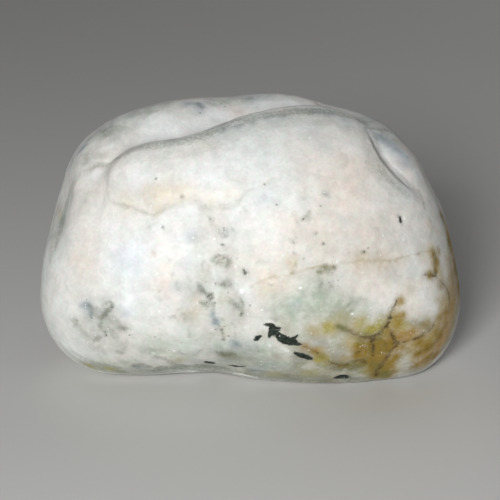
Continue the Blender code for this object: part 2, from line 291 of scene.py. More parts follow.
SMUDGES_AND_SHADE = {
    "front": (
        (
            (-28.8, -10.6, 0.2, 0.6), (-27.8, -10.6, 0.24, 0.9), (-27.7, -11.6, 0.4, 1),
            (-28.8, -12.4, 0.52, 0.7), (-29.4, -13, 0.44, 0.7), (-29.7, -14.2, 0.3, 0.5),
            (-30, -15.4, 0.24, 0.5),
        ),
        ((-27.4, -13.6, 0.48, 0.3), (-26.2, -14.4, 0.48, 0.25)),
        ((-26.2, -15.5, 0.32, 0.5), (-24.6, -15.6, 0.32, 0.5)),
        ((-35.6, -14.2, 0.32, 0.4), (-34.6, -14.1, 0.36, 0.5), (-35.2, -15.4, 0.3, 0.3)),
        ((-31.2, -18.2, 0.4, 0.4), (-30.6, -17.6, 0.48, 0.45), (-29.8, -17.4, 0.32, 0.35)),
        ((-29.2, -16.2, 0.24, 0.5), (-28.8, -17, 0.28, 0.6)),
        ((-26.6, -20.2, 0.36, 0.4), (-25.6, -20.6, 0.44, 0.45), (-24.8, -19.4, 0.3, 0.3)),
        ((-16, -13.4, 0.24, 0.5), (-15.1, -13.3, 0.28, 0.6)),
        ((-14.4, -12, 0.2, 0.4), (-13.6, -11.8, 0.2, 0.3)),
        ((-13.4, -13, 0.52, 0.25), (-12.8, -14, 0.48, 0.2)),
        ((-12.4, -16, 0.24, 0.3), (-12, -17.2, 0.4, 0.4)),
        ((-10.2, -7, 0.4, 0.7), (-9.6, -7.8, 0.48, 0.8), (-9, -8.6, 0.32, 0.6)),
        (
            (-8.6, -8.8, 0.32, 0.9), (-7.6, -9, 0.36, 1), (-8, -9.8, 0.3, 1),
            (-8.6, -9.2, 0.26, 0.8),
        ),
        ((-9.8, -10.4, 0.28, 0.6), (-9, -10.8, 0.32, 0.6), (-8.4, -11.6, 0.26, 0.5)),
        ((-5.6, -13.8, 0.32, 0.4),),
        (
            (-7.2, -2, 0.32, 0.7), (-6.6, -1.3, 0.3, 0.8), (-5.6, -1.6, 0.3, 0.9),
            (-4.8, -1.6, 0.26, 0.7), (-4.3, -2.4, 0.3, 0.8), (-4.8, -3.2, 0.3, 0.8),
            (-5.4, -2.8, 0.24, 0.6),
        ),
        ((-6.8, -2.5, 0.24, 0.6), (-6, -2.4, 0.32, 0.5)),
        ((-3.6, -1.6, 0.44, 0.3), (-2.8, -1.8, 0.32, 0.2)),
        ((-1.8, -9.8, 0.22, 0.8), (-1.5, -11, 0.2, 0.7)),
        ((-1.9, -12, 0.2, 0.7), (-1.4, -12.4, 0.24, 0.8), (-1.8, -13.2, 0.26, 0.8)),
        ((-3.6, -10.4, 0.52, 0.4), (-2.6, -11.2, 0.52, 0.4)),
        ((-3.6, -14.6, 0.2, 0.4), (-3, -15.4, 0.24, 0.5)),
        ((-3.2, -16.6, 0.2, 0.3), (-2.8, -17.4, 0.24, 0.4)),
        ((-2.8, -18.6, 0.4, 0.35), (-1.8, -19.4, 0.4, 0.3)),
        ((-6.4, -20.4, 0.48, 0.45), (-4.8, -21, 0.64, 0.55), (-3.2, -20.8, 0.48, 0.45)),
        ((-14.2, -20.4, 0.32, 0.35), (-13.2, -20.8, 0.32, 0.35)),
        ((-11, -21, 0.2, 0.5), (-10, -20.2, 0.24, 0.5)),
        ((-23, -23.2, 0.8, 0.5), (-21.6, -23, 0.88, 0.5), (-20.4, -23.4, 0.72, 0.45)),
        ((-19, -21.4, 0.44, 0.4), (-17, -21.8, 0.56, 0.45), (-15.2, -22.8, 0.64, 0.45)),
        ((-12.8, -23.2, 0.6, 0.5), (-10, -23.5, 0.6, 0.65)),
        (
            (-1, -23.6, 0.32, 0.6), (1.2, -24.1, 0.44, 0.6), (3.2, -24.3, 0.44, 0.45),
            (6, -24.6, 0.48, 0.3),
        ),
        ((4, -13.6, 0.28, 0.35), (5, -14.2, 0.36, 0.45)),
        ((-19.6, -0.4, 0.32, 0.25), (-18.8, -1.2, 0.28, 0.25)), ((-16, -2, 0.2, 0.4),),
        ((-15.5, -5, 0.24, 0.5),), ((-14.8, -6.6, 0.4, 0.25), (-14.4, -8, 0.4, 0.2)),
        ((-12.6, -5.4, 0.32, 0.3), (-12, -6.2, 0.32, 0.3)), ((-18, -8.2, 0.2, 0.5),),
        ((-18.8, -9.2, 0.32, 0.25), (-18, -10.2, 0.32, 0.3)),
        ((-9.2, -2.4, 0.32, 0.35), (-9.4, -3.2, 0.2, 0.3)),
        ((-26.2, -6.2, 0.2, 0.2), (-25, -8, 0.24, 0.25)),
        ((-6, 1.2, 0.24, 0.5), (-5.4, 1, 0.24, 0.6)), ((-4.8, 0.2, 0.24, 0.4),),
        ((-8.2, 6.6, 0.24, 0.6), (-7.6, 5.9, 0.28, 0.5)),
        ((-5.8, 3.4, 0.48, 0.4), (-5, 2.8, 0.44, 0.45), (-4.6, 4, 0.32, 0.3)),
        ((-3.4, 4, 0.26, 0.4),), ((-7.4, 4.6, 0.52, 0.25), (-6.4, 4.2, 0.4, 0.3)),
        ((-1.2, 8.4, 0.28, 0.3), (-0.8, 7.8, 0.24, 0.3)), ((-2, 7.4, 0.24, 0.4),),
        ((-20.2, 4.6, 0.32, 0.25), (-18.6, 5.4, 0.28, 0.3)), ((-17.4, 4.6, 0.28, 0.6),),
        ((-13.4, 10.7, 0.36, 0.5),), ((-13.6, 9.7, 0.18, 0.4),), ((-10.2, 9.9, 0.2, 0.5),),
        ((8.2, 2, 0.24, 0.5), (8.7, 1.4, 0.28, 0.6)),
        ((9, 3.6, 0.2, 0.3), (9.1, 2.6, 0.18, 0.3)),
        ((9.4, 5.4, 0.32, 0.25), (9.8, 5, 0.26, 0.3)), ((8.8, -0.6, 0.3, 0.4),),
        ((9, -3, 0.22, 0.6),), ((10.6, 6.2, 0.28, 0.7), (11.2, 6.6, 0.18, 0.4)),
        ((11.4, 6.8, 0.22, 0.5), (12, 7.8, 0.28, 0.45), (12.2, 6.8, 0.2, 0.4)),
        ((14.6, 11.2, 0.32, 0.4), (15.4, 10.8, 0.36, 0.4)), ((13.2, 3.4, 0.24, 0.5),),
        ((14.8, 1.3, 0.28, 0.6),), ((25.4, 4.2, 0.32, 0.35), (26, 4.4, 0.2, 0.3)),
        ((22.7, -0.4, 0.36, 0.6),),
        ((13.8, -5.6, 0.26, 0.35), (14.2, -6.8, 0.4, 0.6), (14, -7.4, 0.28, 0.4)),
        ((16, -7, 0.26, 0.4), (16.6, -6.6, 0.3, 0.5), (16, -8, 0.3, 0.3)),
        ((12.8, -6.8, 0.2, 0.25),),
        ((19.4, -11.2, 0.28, 0.6), (20.1, -10.6, 0.24, 0.4), (20.4, -9.8, 0.22, 0.3)),
        ((20.4, -12.2, 0.24, 0.5),), ((22.2, -9.6, 0.28, 0.4), (23.2, -9.8, 0.24, 0.4)),
        ((21.4, -10.4, 0.32, 0.25),), ((12.4, -12.4, 0.2, 0.3),),
        ((3.8, -6.8, 0.2, 0.4), (4.3, -7, 0.24, 0.5)),
        ((0.2, -7.6, 0.22, 0.45), (0.6, -7.2, 0.2, 0.4)),
        ((1.4, -2.6, 0.32, 0.2), (3.6, -2.4, 0.32, 0.2)),
        ((31, -14.4, 0.28, 0.45), (32, -14.4, 0.3, 0.5), (33.6, -14.2, 0.24, 0.4)),
        (
            (35, -15.2, 0.24, 0.4), (36, -14.8, 0.26, 0.5), (36.6, -15.4, 0.22, 0.5),
            (36, -16.2, 0.22, 0.4),
        ),
        ((30.8, -22.8, 0.18, 0.5), (31.6, -22.6, 0.24, 0.6), (32.4, -22.2, 0.18, 0.4)),
        ((17.2, -15.1, 0.32, 0.6), (18.2, -15.4, 0.44, 0.8), (19.2, -16, 0.32, 0.7)),
        (
            (15.2, -21.4, 0.2, 0.5), (16.2, -22.6, 0.32, 0.6), (18, -23.2, 0.36, 0.7),
            (19.8, -23, 0.32, 0.6),
        ),
        ((20.8, -22.2, 0.4, 0.6), (22.2, -22.1, 0.48, 0.7), (23, -22.8, 0.36, 0.5)),
        ((24, -18, 0.28, 0.5), (24.6, -17.4, 0.44, 0.7), (25.8, -17, 0.4, 0.6)),
        ((26.4, -15.8, 0.32, 0.5), (27.4, -15.2, 0.32, 0.5)), ((27.8, -14.4, 0.24, 0.6),),
        ((21.4, -20.4, 0.4, 0.35), (22.8, -19.8, 0.4, 0.3)),
        ((20.4, -21.4, 0.32, 0.3), (21, -20.4, 0.3, 0.3)),
        ((25.4, -24.2, 0.6, 0.5), (25, -25.2, 0.92, 0.6), (27.2, -25.2, 0.8, 0.5)),
        ((26.8, -22.6, 0.32, 0.4),), ((29.2, -19, 0.4, 0.4), (28.4, -18.4, 0.28, 0.4)),
        ((10.4, -23.2, 0.24, 0.2), (11.2, -22.4, 0.24, 0.2)),
        # painted shadow in the chip at the base
        ((17.4, -25.9, 0.6, 0.8), (18.6, -25.5, 0.88, 1), (19.8, -25.9, 0.6, 0.8)),
        ((36.8, 0, 0.44, 0.3), (36.8, -2.4, 0.48, 0.3), (37, -4.8, 0.44, 0.5)),
        ((36, 2, 0.48, 0.2), (36.4, 4.4, 0.48, 0.2), (35.6, 6.8, 0.4, 0.15)),
        ((13.2, 30.4, 0.18, 0.5), (13.6, 29.8, 0.24, 0.6), (14.2, 28.8, 0.2, 0.5)),
        (
            (23, 24.4, 0.24, 0.5), (24.4, 24.2, 0.26, 0.6), (26, 24.1, 0.24, 0.6),
            (27.4, 23.8, 0.22, 0.5),
        ),
        ((21.6, 25.6, 0.52, 0.3), (23.2, 25.2, 0.52, 0.35)),
        # painted shade at the upper right limb
        (
            (25.2, 26.2, 0.4, 0.4), (27.2, 25.6, 0.44, 0.5), (28.8, 24.2, 0.44, 0.5),
            (30, 22.4, 0.4, 0.4),
        ),
        ((26.4, 25.2, 0.24, 0.3), (28, 24.4, 0.24, 0.3)),
        # painted shade down the right groove
        ((23.2, 20.8, 0.52, 0.2), (24.2, 18.4, 0.56, 0.2), (25.6, 16.4, 0.52, 0.15)),
        ((29.2, 13, 0.44, 0.15), (30.8, 11.8, 0.48, 0.25), (32, 10.6, 0.44, 0.25)),
        ((32.4, 12.3, 0.2, 0.2), (33.8, 11.9, 0.22, 0.25), (34.6, 10.6, 0.2, 0.2)),
        ((34.8, 9.4, 0.4, 0.35), (34.8, 8.4, 0.36, 0.25)),
        (
            (-33.2, 16, 0.28, 0.3), (-31.6, 16.6, 0.3, 0.6), (-30.6, 17.3, 0.36, 0.8),
            (-29.2, 17.2, 0.32, 0.8), (-28.2, 17.3, 0.22, 0.5),
        ),
        ((-34, 18.8, 0.32, 0.3), (-32.8, 19.2, 0.28, 0.3)),
        (
            (-27.4, 9.4, 0.2, 0.3), (-26.4, 9, 0.24, 0.4), (-25, 8.8, 0.36, 0.7),
            (-23.8, 8.7, 0.22, 0.45), (-22.4, 7.9, 0.22, 0.45), (-20.8, 7.4, 0.22, 0.45),
            (-19.4, 7.3, 0.22, 0.4), (-18, 7.7, 0.22, 0.4), (-16.6, 8.8, 0.22, 0.4),
            (-14.8, 9.3, 0.22, 0.3),
        ),
        (
            (-10.8, 9.8, 0.2, 0.4), (-10, 9.4, 0.24, 0.5), (-9.2, 8.7, 0.36, 0.75),
            (-8, 8.4, 0.24, 0.5), (-5.6, 8.7, 0.22, 0.45), (-3.8, 8.8, 0.22, 0.4),
            (-2.6, 9.3, 0.22, 0.4), (-1.8, 10.4, 0.24, 0.45), (-0.8, 11.4, 0.2, 0.35),
            (0.4, 12.2, 0.18, 0.25),
        ),
        ((-21.2, 26.4, 0.36, 0.25), (-20, 27.4, 0.52, 0.4), (-18.8, 27.8, 0.44, 0.35)),
        ((-12.6, 29.4, 0.4, 0.35), (-10.8, 29.4, 0.56, 0.45), (-9.6, 28.6, 0.44, 0.45)),
        ((-9, 29.7, 0.28, 0.35), (-7.4, 29, 0.44, 0.3), (-6.2, 29, 0.32, 0.25)),
        ((-4.4, 30.2, 0.28, 0.25), (-1.6, 30.3, 0.28, 0.25)),
        ((-23.6, 26.8, 0.32, 0.25), (-22, 27.3, 0.32, 0.25)),
        ((-30.2, 23.2, 0.4, 0.35), (-29.2, 23.8, 0.52, 0.4), (-28, 24.6, 0.4, 0.3)),
        ((-27.6, 25.8, 0.24, 0.25), (-27.8, 24.6, 0.24, 0.25)),
        ((-34.4, 19.2, 0.48, 0.35), (-33.4, 20.4, 0.52, 0.4), (-32.4, 21.2, 0.36, 0.3)),
        ((-36.8, -7.6, 0.32, 0.2), (-37, -6.2, 0.32, 0.2)),
        ((10, 19.6, 0.72, 0.14), (11.2, 18.8, 0.64, 0.14)),
        ((13.8, 15.6, 0.48, 0.14), (13.2, 14, 0.4, 0.12)),
        ((19, 18.8, 0.44, 0.15), (19, 16.8, 0.4, 0.15)), ((9.2, -15.6, 0.24, 0.15),),
        (
            (-34, -11.2, 0.32, 0.2), (-32.8, -11, 0.6, 0.4), (-31.8, -11.6, 0.6, 0.5),
            (-31.8, -13, 0.36, 0.4),
        ),
        (
            (-7.6, -12, 0.28, 0.4), (-7.3, -13.2, 0.36, 0.5), (-6.8, -14.4, 0.44, 0.6),
            (-6.2, -15.2, 0.26, 0.4),
        ),
        ((-5.6, -16, 0.22, 0.6), (-5.4, -17, 0.2, 0.5), (-5.3, -18, 0.24, 0.8)),
        # painted shade in the hollow of the left flank
        (
            (-34.2, 15.6, 0.8, 0.2), (-35.6, 12.4, 1.2, 0.3), (-36.4, 10, 1.4, 0.4),
            (-37.2, 7.2, 1.5, 0.5), (-37.8, 4.4, 1.4, 0.45), (-38.6, 2, 1.2, 0.35),
            (-39.2, -0.4, 1, 0.2),
        ),
        ((-38, 10, 1, 0.25), (-39.2, 5.6, 1, 0.3), (-39.8, 1.2, 1, 0.25), (-40, -2.4, 0.8, 0.2)),
        (
            (-36, -20, 0.6, 0.2), (-32, -22.4, 1, 0.4), (-28, -23.4, 1, 0.45),
            (-24, -23.8, 0.8, 0.3),
        ),
        (
            (14.4, -3.1, 0.24, 0.5), (15.2, -3.4, 0.32, 0.6), (16, -3.9, 0.28, 0.5),
            (17, -3.8, 0.26, 0.6),
        ),
        ((16.2, -5, 0.18, 0.5), (16.6, -4.5, 0.18, 0.5)), ((-5.8, -6.8, 0.3, 0.6),),
        ((-4.8, -7.2, 0.36, 0.65),), ((-4, -6.6, 0.24, 0.4),), ((-3.6, -6.1, 0.2, 0.35),),
        ((8.2, -4.8, 0.24, 0.5), (8.8, -4.7, 0.18, 0.4)),
        (
            (39, -14.4, 0.6, 0.25), (39.6, -16.8, 0.8, 0.35), (38.8, -19.2, 1, 0.4),
            (37.2, -21.4, 1, 0.4), (34.8, -23.2, 1, 0.35),
        ),
        (
            (40, -2.4, 0.6, 0.3), (40.4, -6, 0.6, 0.35), (40.6, -9.6, 0.6, 0.35),
            (40.4, -12.8, 0.6, 0.4),
        ),
        # painted shade all along the base
        (
            (-37.6, -19.2, 1, 0.25), (-35.6, -21.2, 1.4, 0.35), (-33.2, -22.6, 1.6, 0.4),
            (-30.4, -23.6, 1.6, 0.45), (-27, -24.2, 1.6, 0.45), (-23, -24.6, 1.6, 0.45),
            (-19, -24.5, 1.6, 0.45), (-15, -24.1, 1.6, 0.4), (-11, -24, 1.4, 0.35),
            (-7.6, -24, 1.6, 0.45), (-4.4, -24.4, 1.8, 0.5), (0, -25.1, 2, 0.55),
            (5, -25.6, 2, 0.6), (10, -26, 2, 0.6), (15, -26.2, 2, 0.6), (20, -26.1, 1.8, 0.55),
            (24.4, -25.9, 1.6, 0.5), (28.4, -25.6, 1.6, 0.45), (32.4, -24.6, 1.6, 0.4),
            (35.6, -22.8, 1.6, 0.4),
        ),
        ((10, -21.2, 1.4, 0.3), (13.2, -22.4, 1.2, 0.25)),
        ((17.2, -21, 1.2, 0.2), (20.4, -23.2, 1.2, 0.2)),
        ((30.8, -14.4, 0.6, 0.3), (33.6, -14.6, 0.8, 0.35), (36, -15.2, 0.8, 0.35)),
        ((25.2, -23.6, 0.8, 0.3), (26.8, -25, 1, 0.4)),
        ((22.4, -20.4, 0.6, 0.25), (21.4, -22, 0.6, 0.25)),
        # painted shade along the fold's crest
        (
            (-27.8, 17, 0.38, 0.3), (-27.2, 18, 0.45, 0.45), (-25.8, 18.8, 0.6, 0.5),
            (-22.2, 20.5, 0.81, 0.5), (-17.4, 21.1, 0.91, 0.5), (-11.2, 22.4, 0.91, 0.55),
            (-6.8, 24.1, 0.96, 0.6), (-2.4, 25.8, 0.96, 0.6), (2, 26.8, 1.01, 0.55),
            (7, 27.5, 1.11, 0.6), (12, 27.8, 1.21, 0.65), (16, 27.6, 1.16, 0.6),
            (19, 26.9, 1.01, 0.5), (21.6, 25.9, 0.86, 0.4),
        ),
        # softer painted shade just below the fold's crest
        (
            (-24, 18.6, 1.51, 0.12), (-17, 19.6, 1.76, 0.14), (-10, 20.8, 1.76, 0.16),
            (-5, 22.6, 1.76, 0.16), (1, 25, 1.76, 0.18), (8, 26, 1.76, 0.2), (15, 26, 1.76, 0.2),
        ),
        # painted shade along the base
        (
            (-20, -24.2, 1.4, 0.4), (-16, -23.9, 1.6, 0.5), (-12, -23.8, 1.6, 0.5),
            (-8, -23.9, 1.8, 0.55), (-4.4, -24.2, 1.8, 0.55), (-2, -24.6, 1.6, 0.45),
        ),
        ((14.4, -3.3, 0.32, 0.5), (15.1, -3.1, 0.44, 0.8), (15.7, -3.4, 0.32, 0.6)),
        ((16.6, -3.6, 0.4, 0.75), (17.2, -3.4, 0.28, 0.5)),
        ((13.6, -4.3, 0.32, 0.6), (14.2, -4.6, 0.28, 0.5)),
        ((15.2, -4.4, 0.28, 0.5), (16, -4.5, 0.32, 0.6)),
        ((29.5, 7.2, 0.44, 0.35), (30, 6.2, 0.56, 0.55), (30.2, 5.2, 0.44, 0.3)),
        # painted shade along the base
        (
            (-17.6, -23.8, 2.4, 0.6), (-14, -23.8, 2.8, 0.7), (-10, -24, 2.8, 0.75),
            (-6, -24.2, 2.8, 0.75), (-2.4, -24.8, 2, 0.5),
        ),
        (
            (10, -21.2, 1, 0.3), (13, -22.2, 1.2, 0.45), (15.6, -23.2, 1.2, 0.5),
            (18.4, -23.6, 1.2, 0.55), (21.2, -23.6, 1.2, 0.5), (23.6, -24.4, 1.2, 0.45),
            (26, -25, 1.2, 0.4),
        ),
        (
            (-7.3, -2, 0.32, 0.6), (-6.6, -1.4, 0.32, 0.6), (-5.6, -1.3, 0.32, 0.6),
            (-4.6, -1.6, 0.36, 0.7), (-4.1, -2.4, 0.36, 0.7), (-4.8, -3, 0.32, 0.6),
            (-6.2, -2.6, 0.28, 0.45), (-7.1, -2.3, 0.3, 0.5),
        ),
        (
            (-5.5, -6.6, 0.36, 0.45), (-4.8, -6.2, 0.36, 0.5), (-4, -6.8, 0.4, 0.5),
            (-4.6, -7.2, 0.32, 0.4),
        ),
        # painted shade down the right groove, then a softer, wider band of it
        (
            (23.8, 20.8, 0.48, 0.2592), (24.8, 18.4, 0.6, 0.3888), (26, 16.4, 0.64, 0.44064),
            (27.6, 14.4, 0.6, 0.44064), (29.4, 12.6, 0.56, 0.3888), (31.2, 10.8, 0.48, 0.28512),
        ),
        (
            (23.2, 20, 1.2, 0.1296), (24.4, 17, 1.4, 0.18144), (26.4, 14.2, 1.4, 0.18144),
            (28.8, 11.6, 1.2, 0.15552),
        ),
        (
            (-27.8, 17, 0.32, 0.2), (-28.4, 15.2, 0.36, 0.2), (-28.6, 13.4, 0.36, 0.2),
            (-29, 11.8, 0.36, 0.2), (-29.2, 10.2, 0.32, 0.2),
        ),
        ((-8.4, -10.2, 0.4, 0.45), (-7.6, -10.8, 0.48, 0.5), (-7.2, -11.8, 0.4, 0.35)),
        (
            (12.2, -20.4, 0.48, 0.45), (13.4, -20.8, 0.6, 0.6), (14.6, -21.3, 0.64, 0.65),
            (15.8, -22.2, 0.6, 0.6),
        ),
        ((20.6, -22.8, 0.6, 0.5), (21.8, -23.3, 0.72, 0.65), (23, -23.2, 0.6, 0.5)),
        # painted shade along the base
        (
            (-14.8, -23.2, 1.4, 0.5), (-12, -23.3, 1.6, 0.6), (-9, -23.4, 1.6, 0.6),
            (-6, -23.7, 1.6, 0.65), (-3.2, -24.2, 1.6, 0.5),
        ),
        (
            (0, -24.2, 1.4, 0.35), (5, -25, 1.6, 0.4), (10, -25.6, 1.6, 0.4),
            (15, -25.8, 1.4, 0.35),
        ),
        ((-26.4, -23.6, 1.2, 0.2), (-22, -24.2, 1.4, 0.25), (-18, -24.2, 1.6, 0.35)),
    ),
    "back": (
        ((-4.8, -6.8, 0.6, 0.5), (-3.2, -7.6, 0.48, 0.5)),
        ((-2.4, -10, 0.44, 0.6), (-2.8, -11.2, 0.32, 0.4)), ((-14.4, 8.8, 0.48, 0.4),),
        ((13.6, 2.8, 0.44, 0.5), (14.8, 2, 0.32, 0.4)),
        ((19.2, -7.6, 0.6, 0.4), (20.4, -8.8, 0.44, 0.4)),
        ((10, -10, 0.8, 0.4), (12, -11.6, 0.6, 0.5)),
        ((-10, 18, 0.8, 0.3), (-7.2, 17.2, 0.64, 0.3)), ((-18, 0, 0.28, 0.5),),
        ((-8, 8, 0.26, 0.5),), ((4, 14, 0.28, 0.5),),
        ((-26, -8, 0.44, 0.4), (-24.8, -9.2, 0.32, 0.4)),
    ),
    "right end": (
        ((1.6, -3.6, 0.6, 0.4), (3.2, -4.8, 0.44, 0.4)), ((0, -10, 0.48, 0.5),),
        ((2.4, 13.6, 0.6, 0.3),), ((10, 2, 0.26, 0.5),), ((-2.8, 5.6, 0.28, 0.5),),
        ((12, -7.2, 0.44, 0.4),),
    ),
    "left end": (
        ((-5.6, -9.6, 0.6, 0.5), (-4.4, -10.8, 0.44, 0.4)), ((-8, -14.4, 0.48, 0.5),),
        ((-19.6, 1.6, 0.44, 0.4),), ((-6, 0, 0.6, 0.3),), ((-14, 10, 0.26, 0.5),),
        ((-18, -10, 0.32, 0.5),),
    ),
    "top": (
        ((-7.6, 2, 0.44, 0.4),), ((0, 5.6, 0.6, 0.3),), ((14, 0, 0.26, 0.5),),
        ((-14, 0, 0.28, 0.4),),
    ),
}

CREASES = {
    "front": (
        (
            (-28.8, 14.8, 0.26, 0.04), (-28.8, 12.4, 0.32, 0.1), (-28.6, 10.6, 0.32, 0.14),
            (-27.4, 9.4, 0.3, 0.18), (-26.4, 9, 0.3, 0.22), (-25, 8.8, 0.32, 0.28),
            (-23.8, 8.7, 0.3, 0.24), (-22.4, 7.9, 0.3, 0.24), (-20.8, 7.4, 0.3, 0.26),
            (-19.4, 7.3, 0.3, 0.26), (-18, 7.7, 0.3, 0.24), (-16.6, 8.8, 0.3, 0.22),
            (-14.8, 9.3, 0.28, 0.2), (-13, 9.6, 0.28, 0.2), (-10.8, 9.8, 0.3, 0.22),
            (-10, 9.4, 0.3, 0.26), (-9.2, 8.7, 0.32, 0.3), (-8, 8.4, 0.32, 0.28),
            (-5.6, 8.7, 0.3, 0.26), (-3.8, 8.8, 0.3, 0.24), (-2.6, 9.3, 0.3, 0.2),
            (-1.8, 10.4, 0.28, 0.18), (-0.8, 11.4, 0.26, 0.14), (0.4, 12.2, 0.24, 0.1),
            (2.8, 13.1, 0.24, 0.1), (5.2, 14.6, 0.2, 0.04),
        ),
        (
            (-33.6, 15.8, 0.28, 0.06), (-31.6, 16.6, 0.34, 0.26), (-30.6, 17.3, 0.36, 0.38),
            (-29.2, 17.2, 0.36, 0.34), (-28.2, 17.4, 0.3, 0.14), (-27.4, 18, 0.26, 0.06),
        ),
        ((13, 30.6, 0.26, 0.14), (13.6, 29.8, 0.28, 0.26), (14.2, 28.8, 0.26, 0.14)),
        (
            (32.2, 12.3, 0.22, 0.03), (33.8, 11.9, 0.24, 0.08), (34.6, 10.6, 0.24, 0.08),
            (35, 8.8, 0.22, 0.03),
        ),
        ((-14, -24.3, 0.26, 0.08), (-11.8, -24.2, 0.32, 0.18), (-9.4, -24.4, 0.26, 0.08)),
        (
            (-3.8, -24.6, 0.24, 0.06), (-1.6, -24.7, 0.3, 0.14), (1, -25.2, 0.3, 0.14),
            (2.8, -25.6, 0.24, 0.06),
        ),
        (
            (17, -26, 0.32, 0.16), (18, -25.6, 0.44, 0.46), (19, -25.5, 0.44, 0.46),
            (20, -26, 0.32, 0.16),
        ),
        (
            (29.8, -9.4, 0.16, 0.04), (29, -11.2, 0.2, 0.1), (28.1, -13.4, 0.24, 0.22),
            (27.2, -15.4, 0.22, 0.16), (25.6, -17, 0.26, 0.22), (24.8, -17.6, 0.26, 0.24),
            (24.5, -18.6, 0.24, 0.18), (24.8, -19.8, 0.2, 0.12), (24.6, -21.2, 0.18, 0.06),
        ),
        (
            (28, -15.4, 0.16, 0.06), (28.8, -17.6, 0.22, 0.16), (29.4, -18.4, 0.24, 0.2),
            (29.8, -18.7, 0.24, 0.2), (28.6, -19.8, 0.22, 0.14), (27.8, -21, 0.22, 0.14),
            (27.2, -22, 0.22, 0.14), (25.6, -24, 0.24, 0.16), (25.2, -25.2, 0.22, 0.08),
        ),
        ((19.8, -16.2, 0.16, 0.04), (22, -17.2, 0.2, 0.1), (24.4, -17.6, 0.22, 0.14)),
        (
            (30, -18.6, 0.16, 0.08), (32, -18.2, 0.2, 0.12), (35, -16.8, 0.2, 0.1),
            (36.8, -15, 0.16, 0.04),
        ),
        (
            (15.8, -22.4, 0.18, 0.06), (17, -23, 0.22, 0.14), (18.4, -23.3, 0.22, 0.16),
            (20, -22.9, 0.18, 0.06),
        ),
        ((21, -22.2, 0.18, 0.06), (22.2, -22, 0.22, 0.14), (23.2, -22.6, 0.18, 0.06)),
        (
            (36.8, 0, 0.18, 0.05), (37.2, -2.4, 0.22, 0.12), (37.3, -5, 0.24, 0.18),
            (38.4, -6.8, 0.18, 0.08),
        ),
        ((34.8, -5, 0.18, 0.04), (36, -5, 0.2, 0.12), (37.2, -5.2, 0.22, 0.14)),
        ((14.6, -3, 0.24, 0.12), (16, -4, 0.24, 0.14), (16.8, -3.6, 0.24, 0.12)),
        ((-6.8, -1.4, 0.24, 0.1), (-5.2, -1.8, 0.26, 0.14), (-4.6, -2.8, 0.24, 0.1)),
        (
            (23.6, 22.8, 0.44, -0.12), (24.6, 20, 0.56, -0.3), (26, 17.6, 0.6, -0.36),
            (27.8, 15.4, 0.6, -0.36), (29.6, 13.8, 0.56, -0.3), (31.2, 12.6, 0.48, -0.18),
            (32.6, 12, 0.4, -0.06),
        ),
        ((-4.2, 24.8, 0.2, 0.06), (-2.6, 25.3, 0.24, 0.12), (-1, 25.6, 0.2, 0.06)),
        (
            (24, 23.8, 0.6, -0.1), (25.4, 20.4, 0.72, -0.34), (27, 17.8, 0.76, -0.44),
            (29, 15.5, 0.76, -0.44), (31, 13.6, 0.68, -0.34), (32.6, 12.4, 0.52, -0.12),
        ),
        ((16.8, -25.7, 0.48, 0.04), (18.2, -25.8, 0.92, 0.3), (19.6, -25.7, 0.48, 0.04)),
        (
            (24.4, 22, 1, -0.08), (26, 20.2, 1.3, -0.3), (28, 17.6, 1.5, -0.5),
            (30, 15.2, 1.3, -0.38), (32, 12.8, 1, -0.1),
        ),
    ),
    "back": (
        (
            (16, 25.6, 0.28, 0.04), (14.4, 23.2, 0.34, 0.2), (12, 20.8, 0.36, 0.28),
            (9.2, 18.8, 0.36, 0.24), (6, 17.4, 0.34, 0.18), (2.4, 16.8, 0.28, 0.04),
        ),
        ((-20.8, -18.2, 0.18, 0.04), (-20, -20.4, 0.22, 0.14), (-20.4, -22.8, 0.22, 0.08)),
        (
            (-26.4, -14.4, 0.18, 0.04), (-23.2, -16, 0.2, 0.1), (-20.8, -18.2, 0.2, 0.12),
            (-18, -19, 0.18, 0.08),
        ),
    ),
    "right end": (
        (
            (-3.6, -2.4, 0.18, 0.04), (-4, -6, 0.2, 0.1), (-5.2, -10, 0.22, 0.12),
            (-4.4, -14, 0.22, 0.14), (-5.6, -18, 0.2, 0.1), (-5.2, -21.6, 0.18, 0.04),
        ),
    ),
}

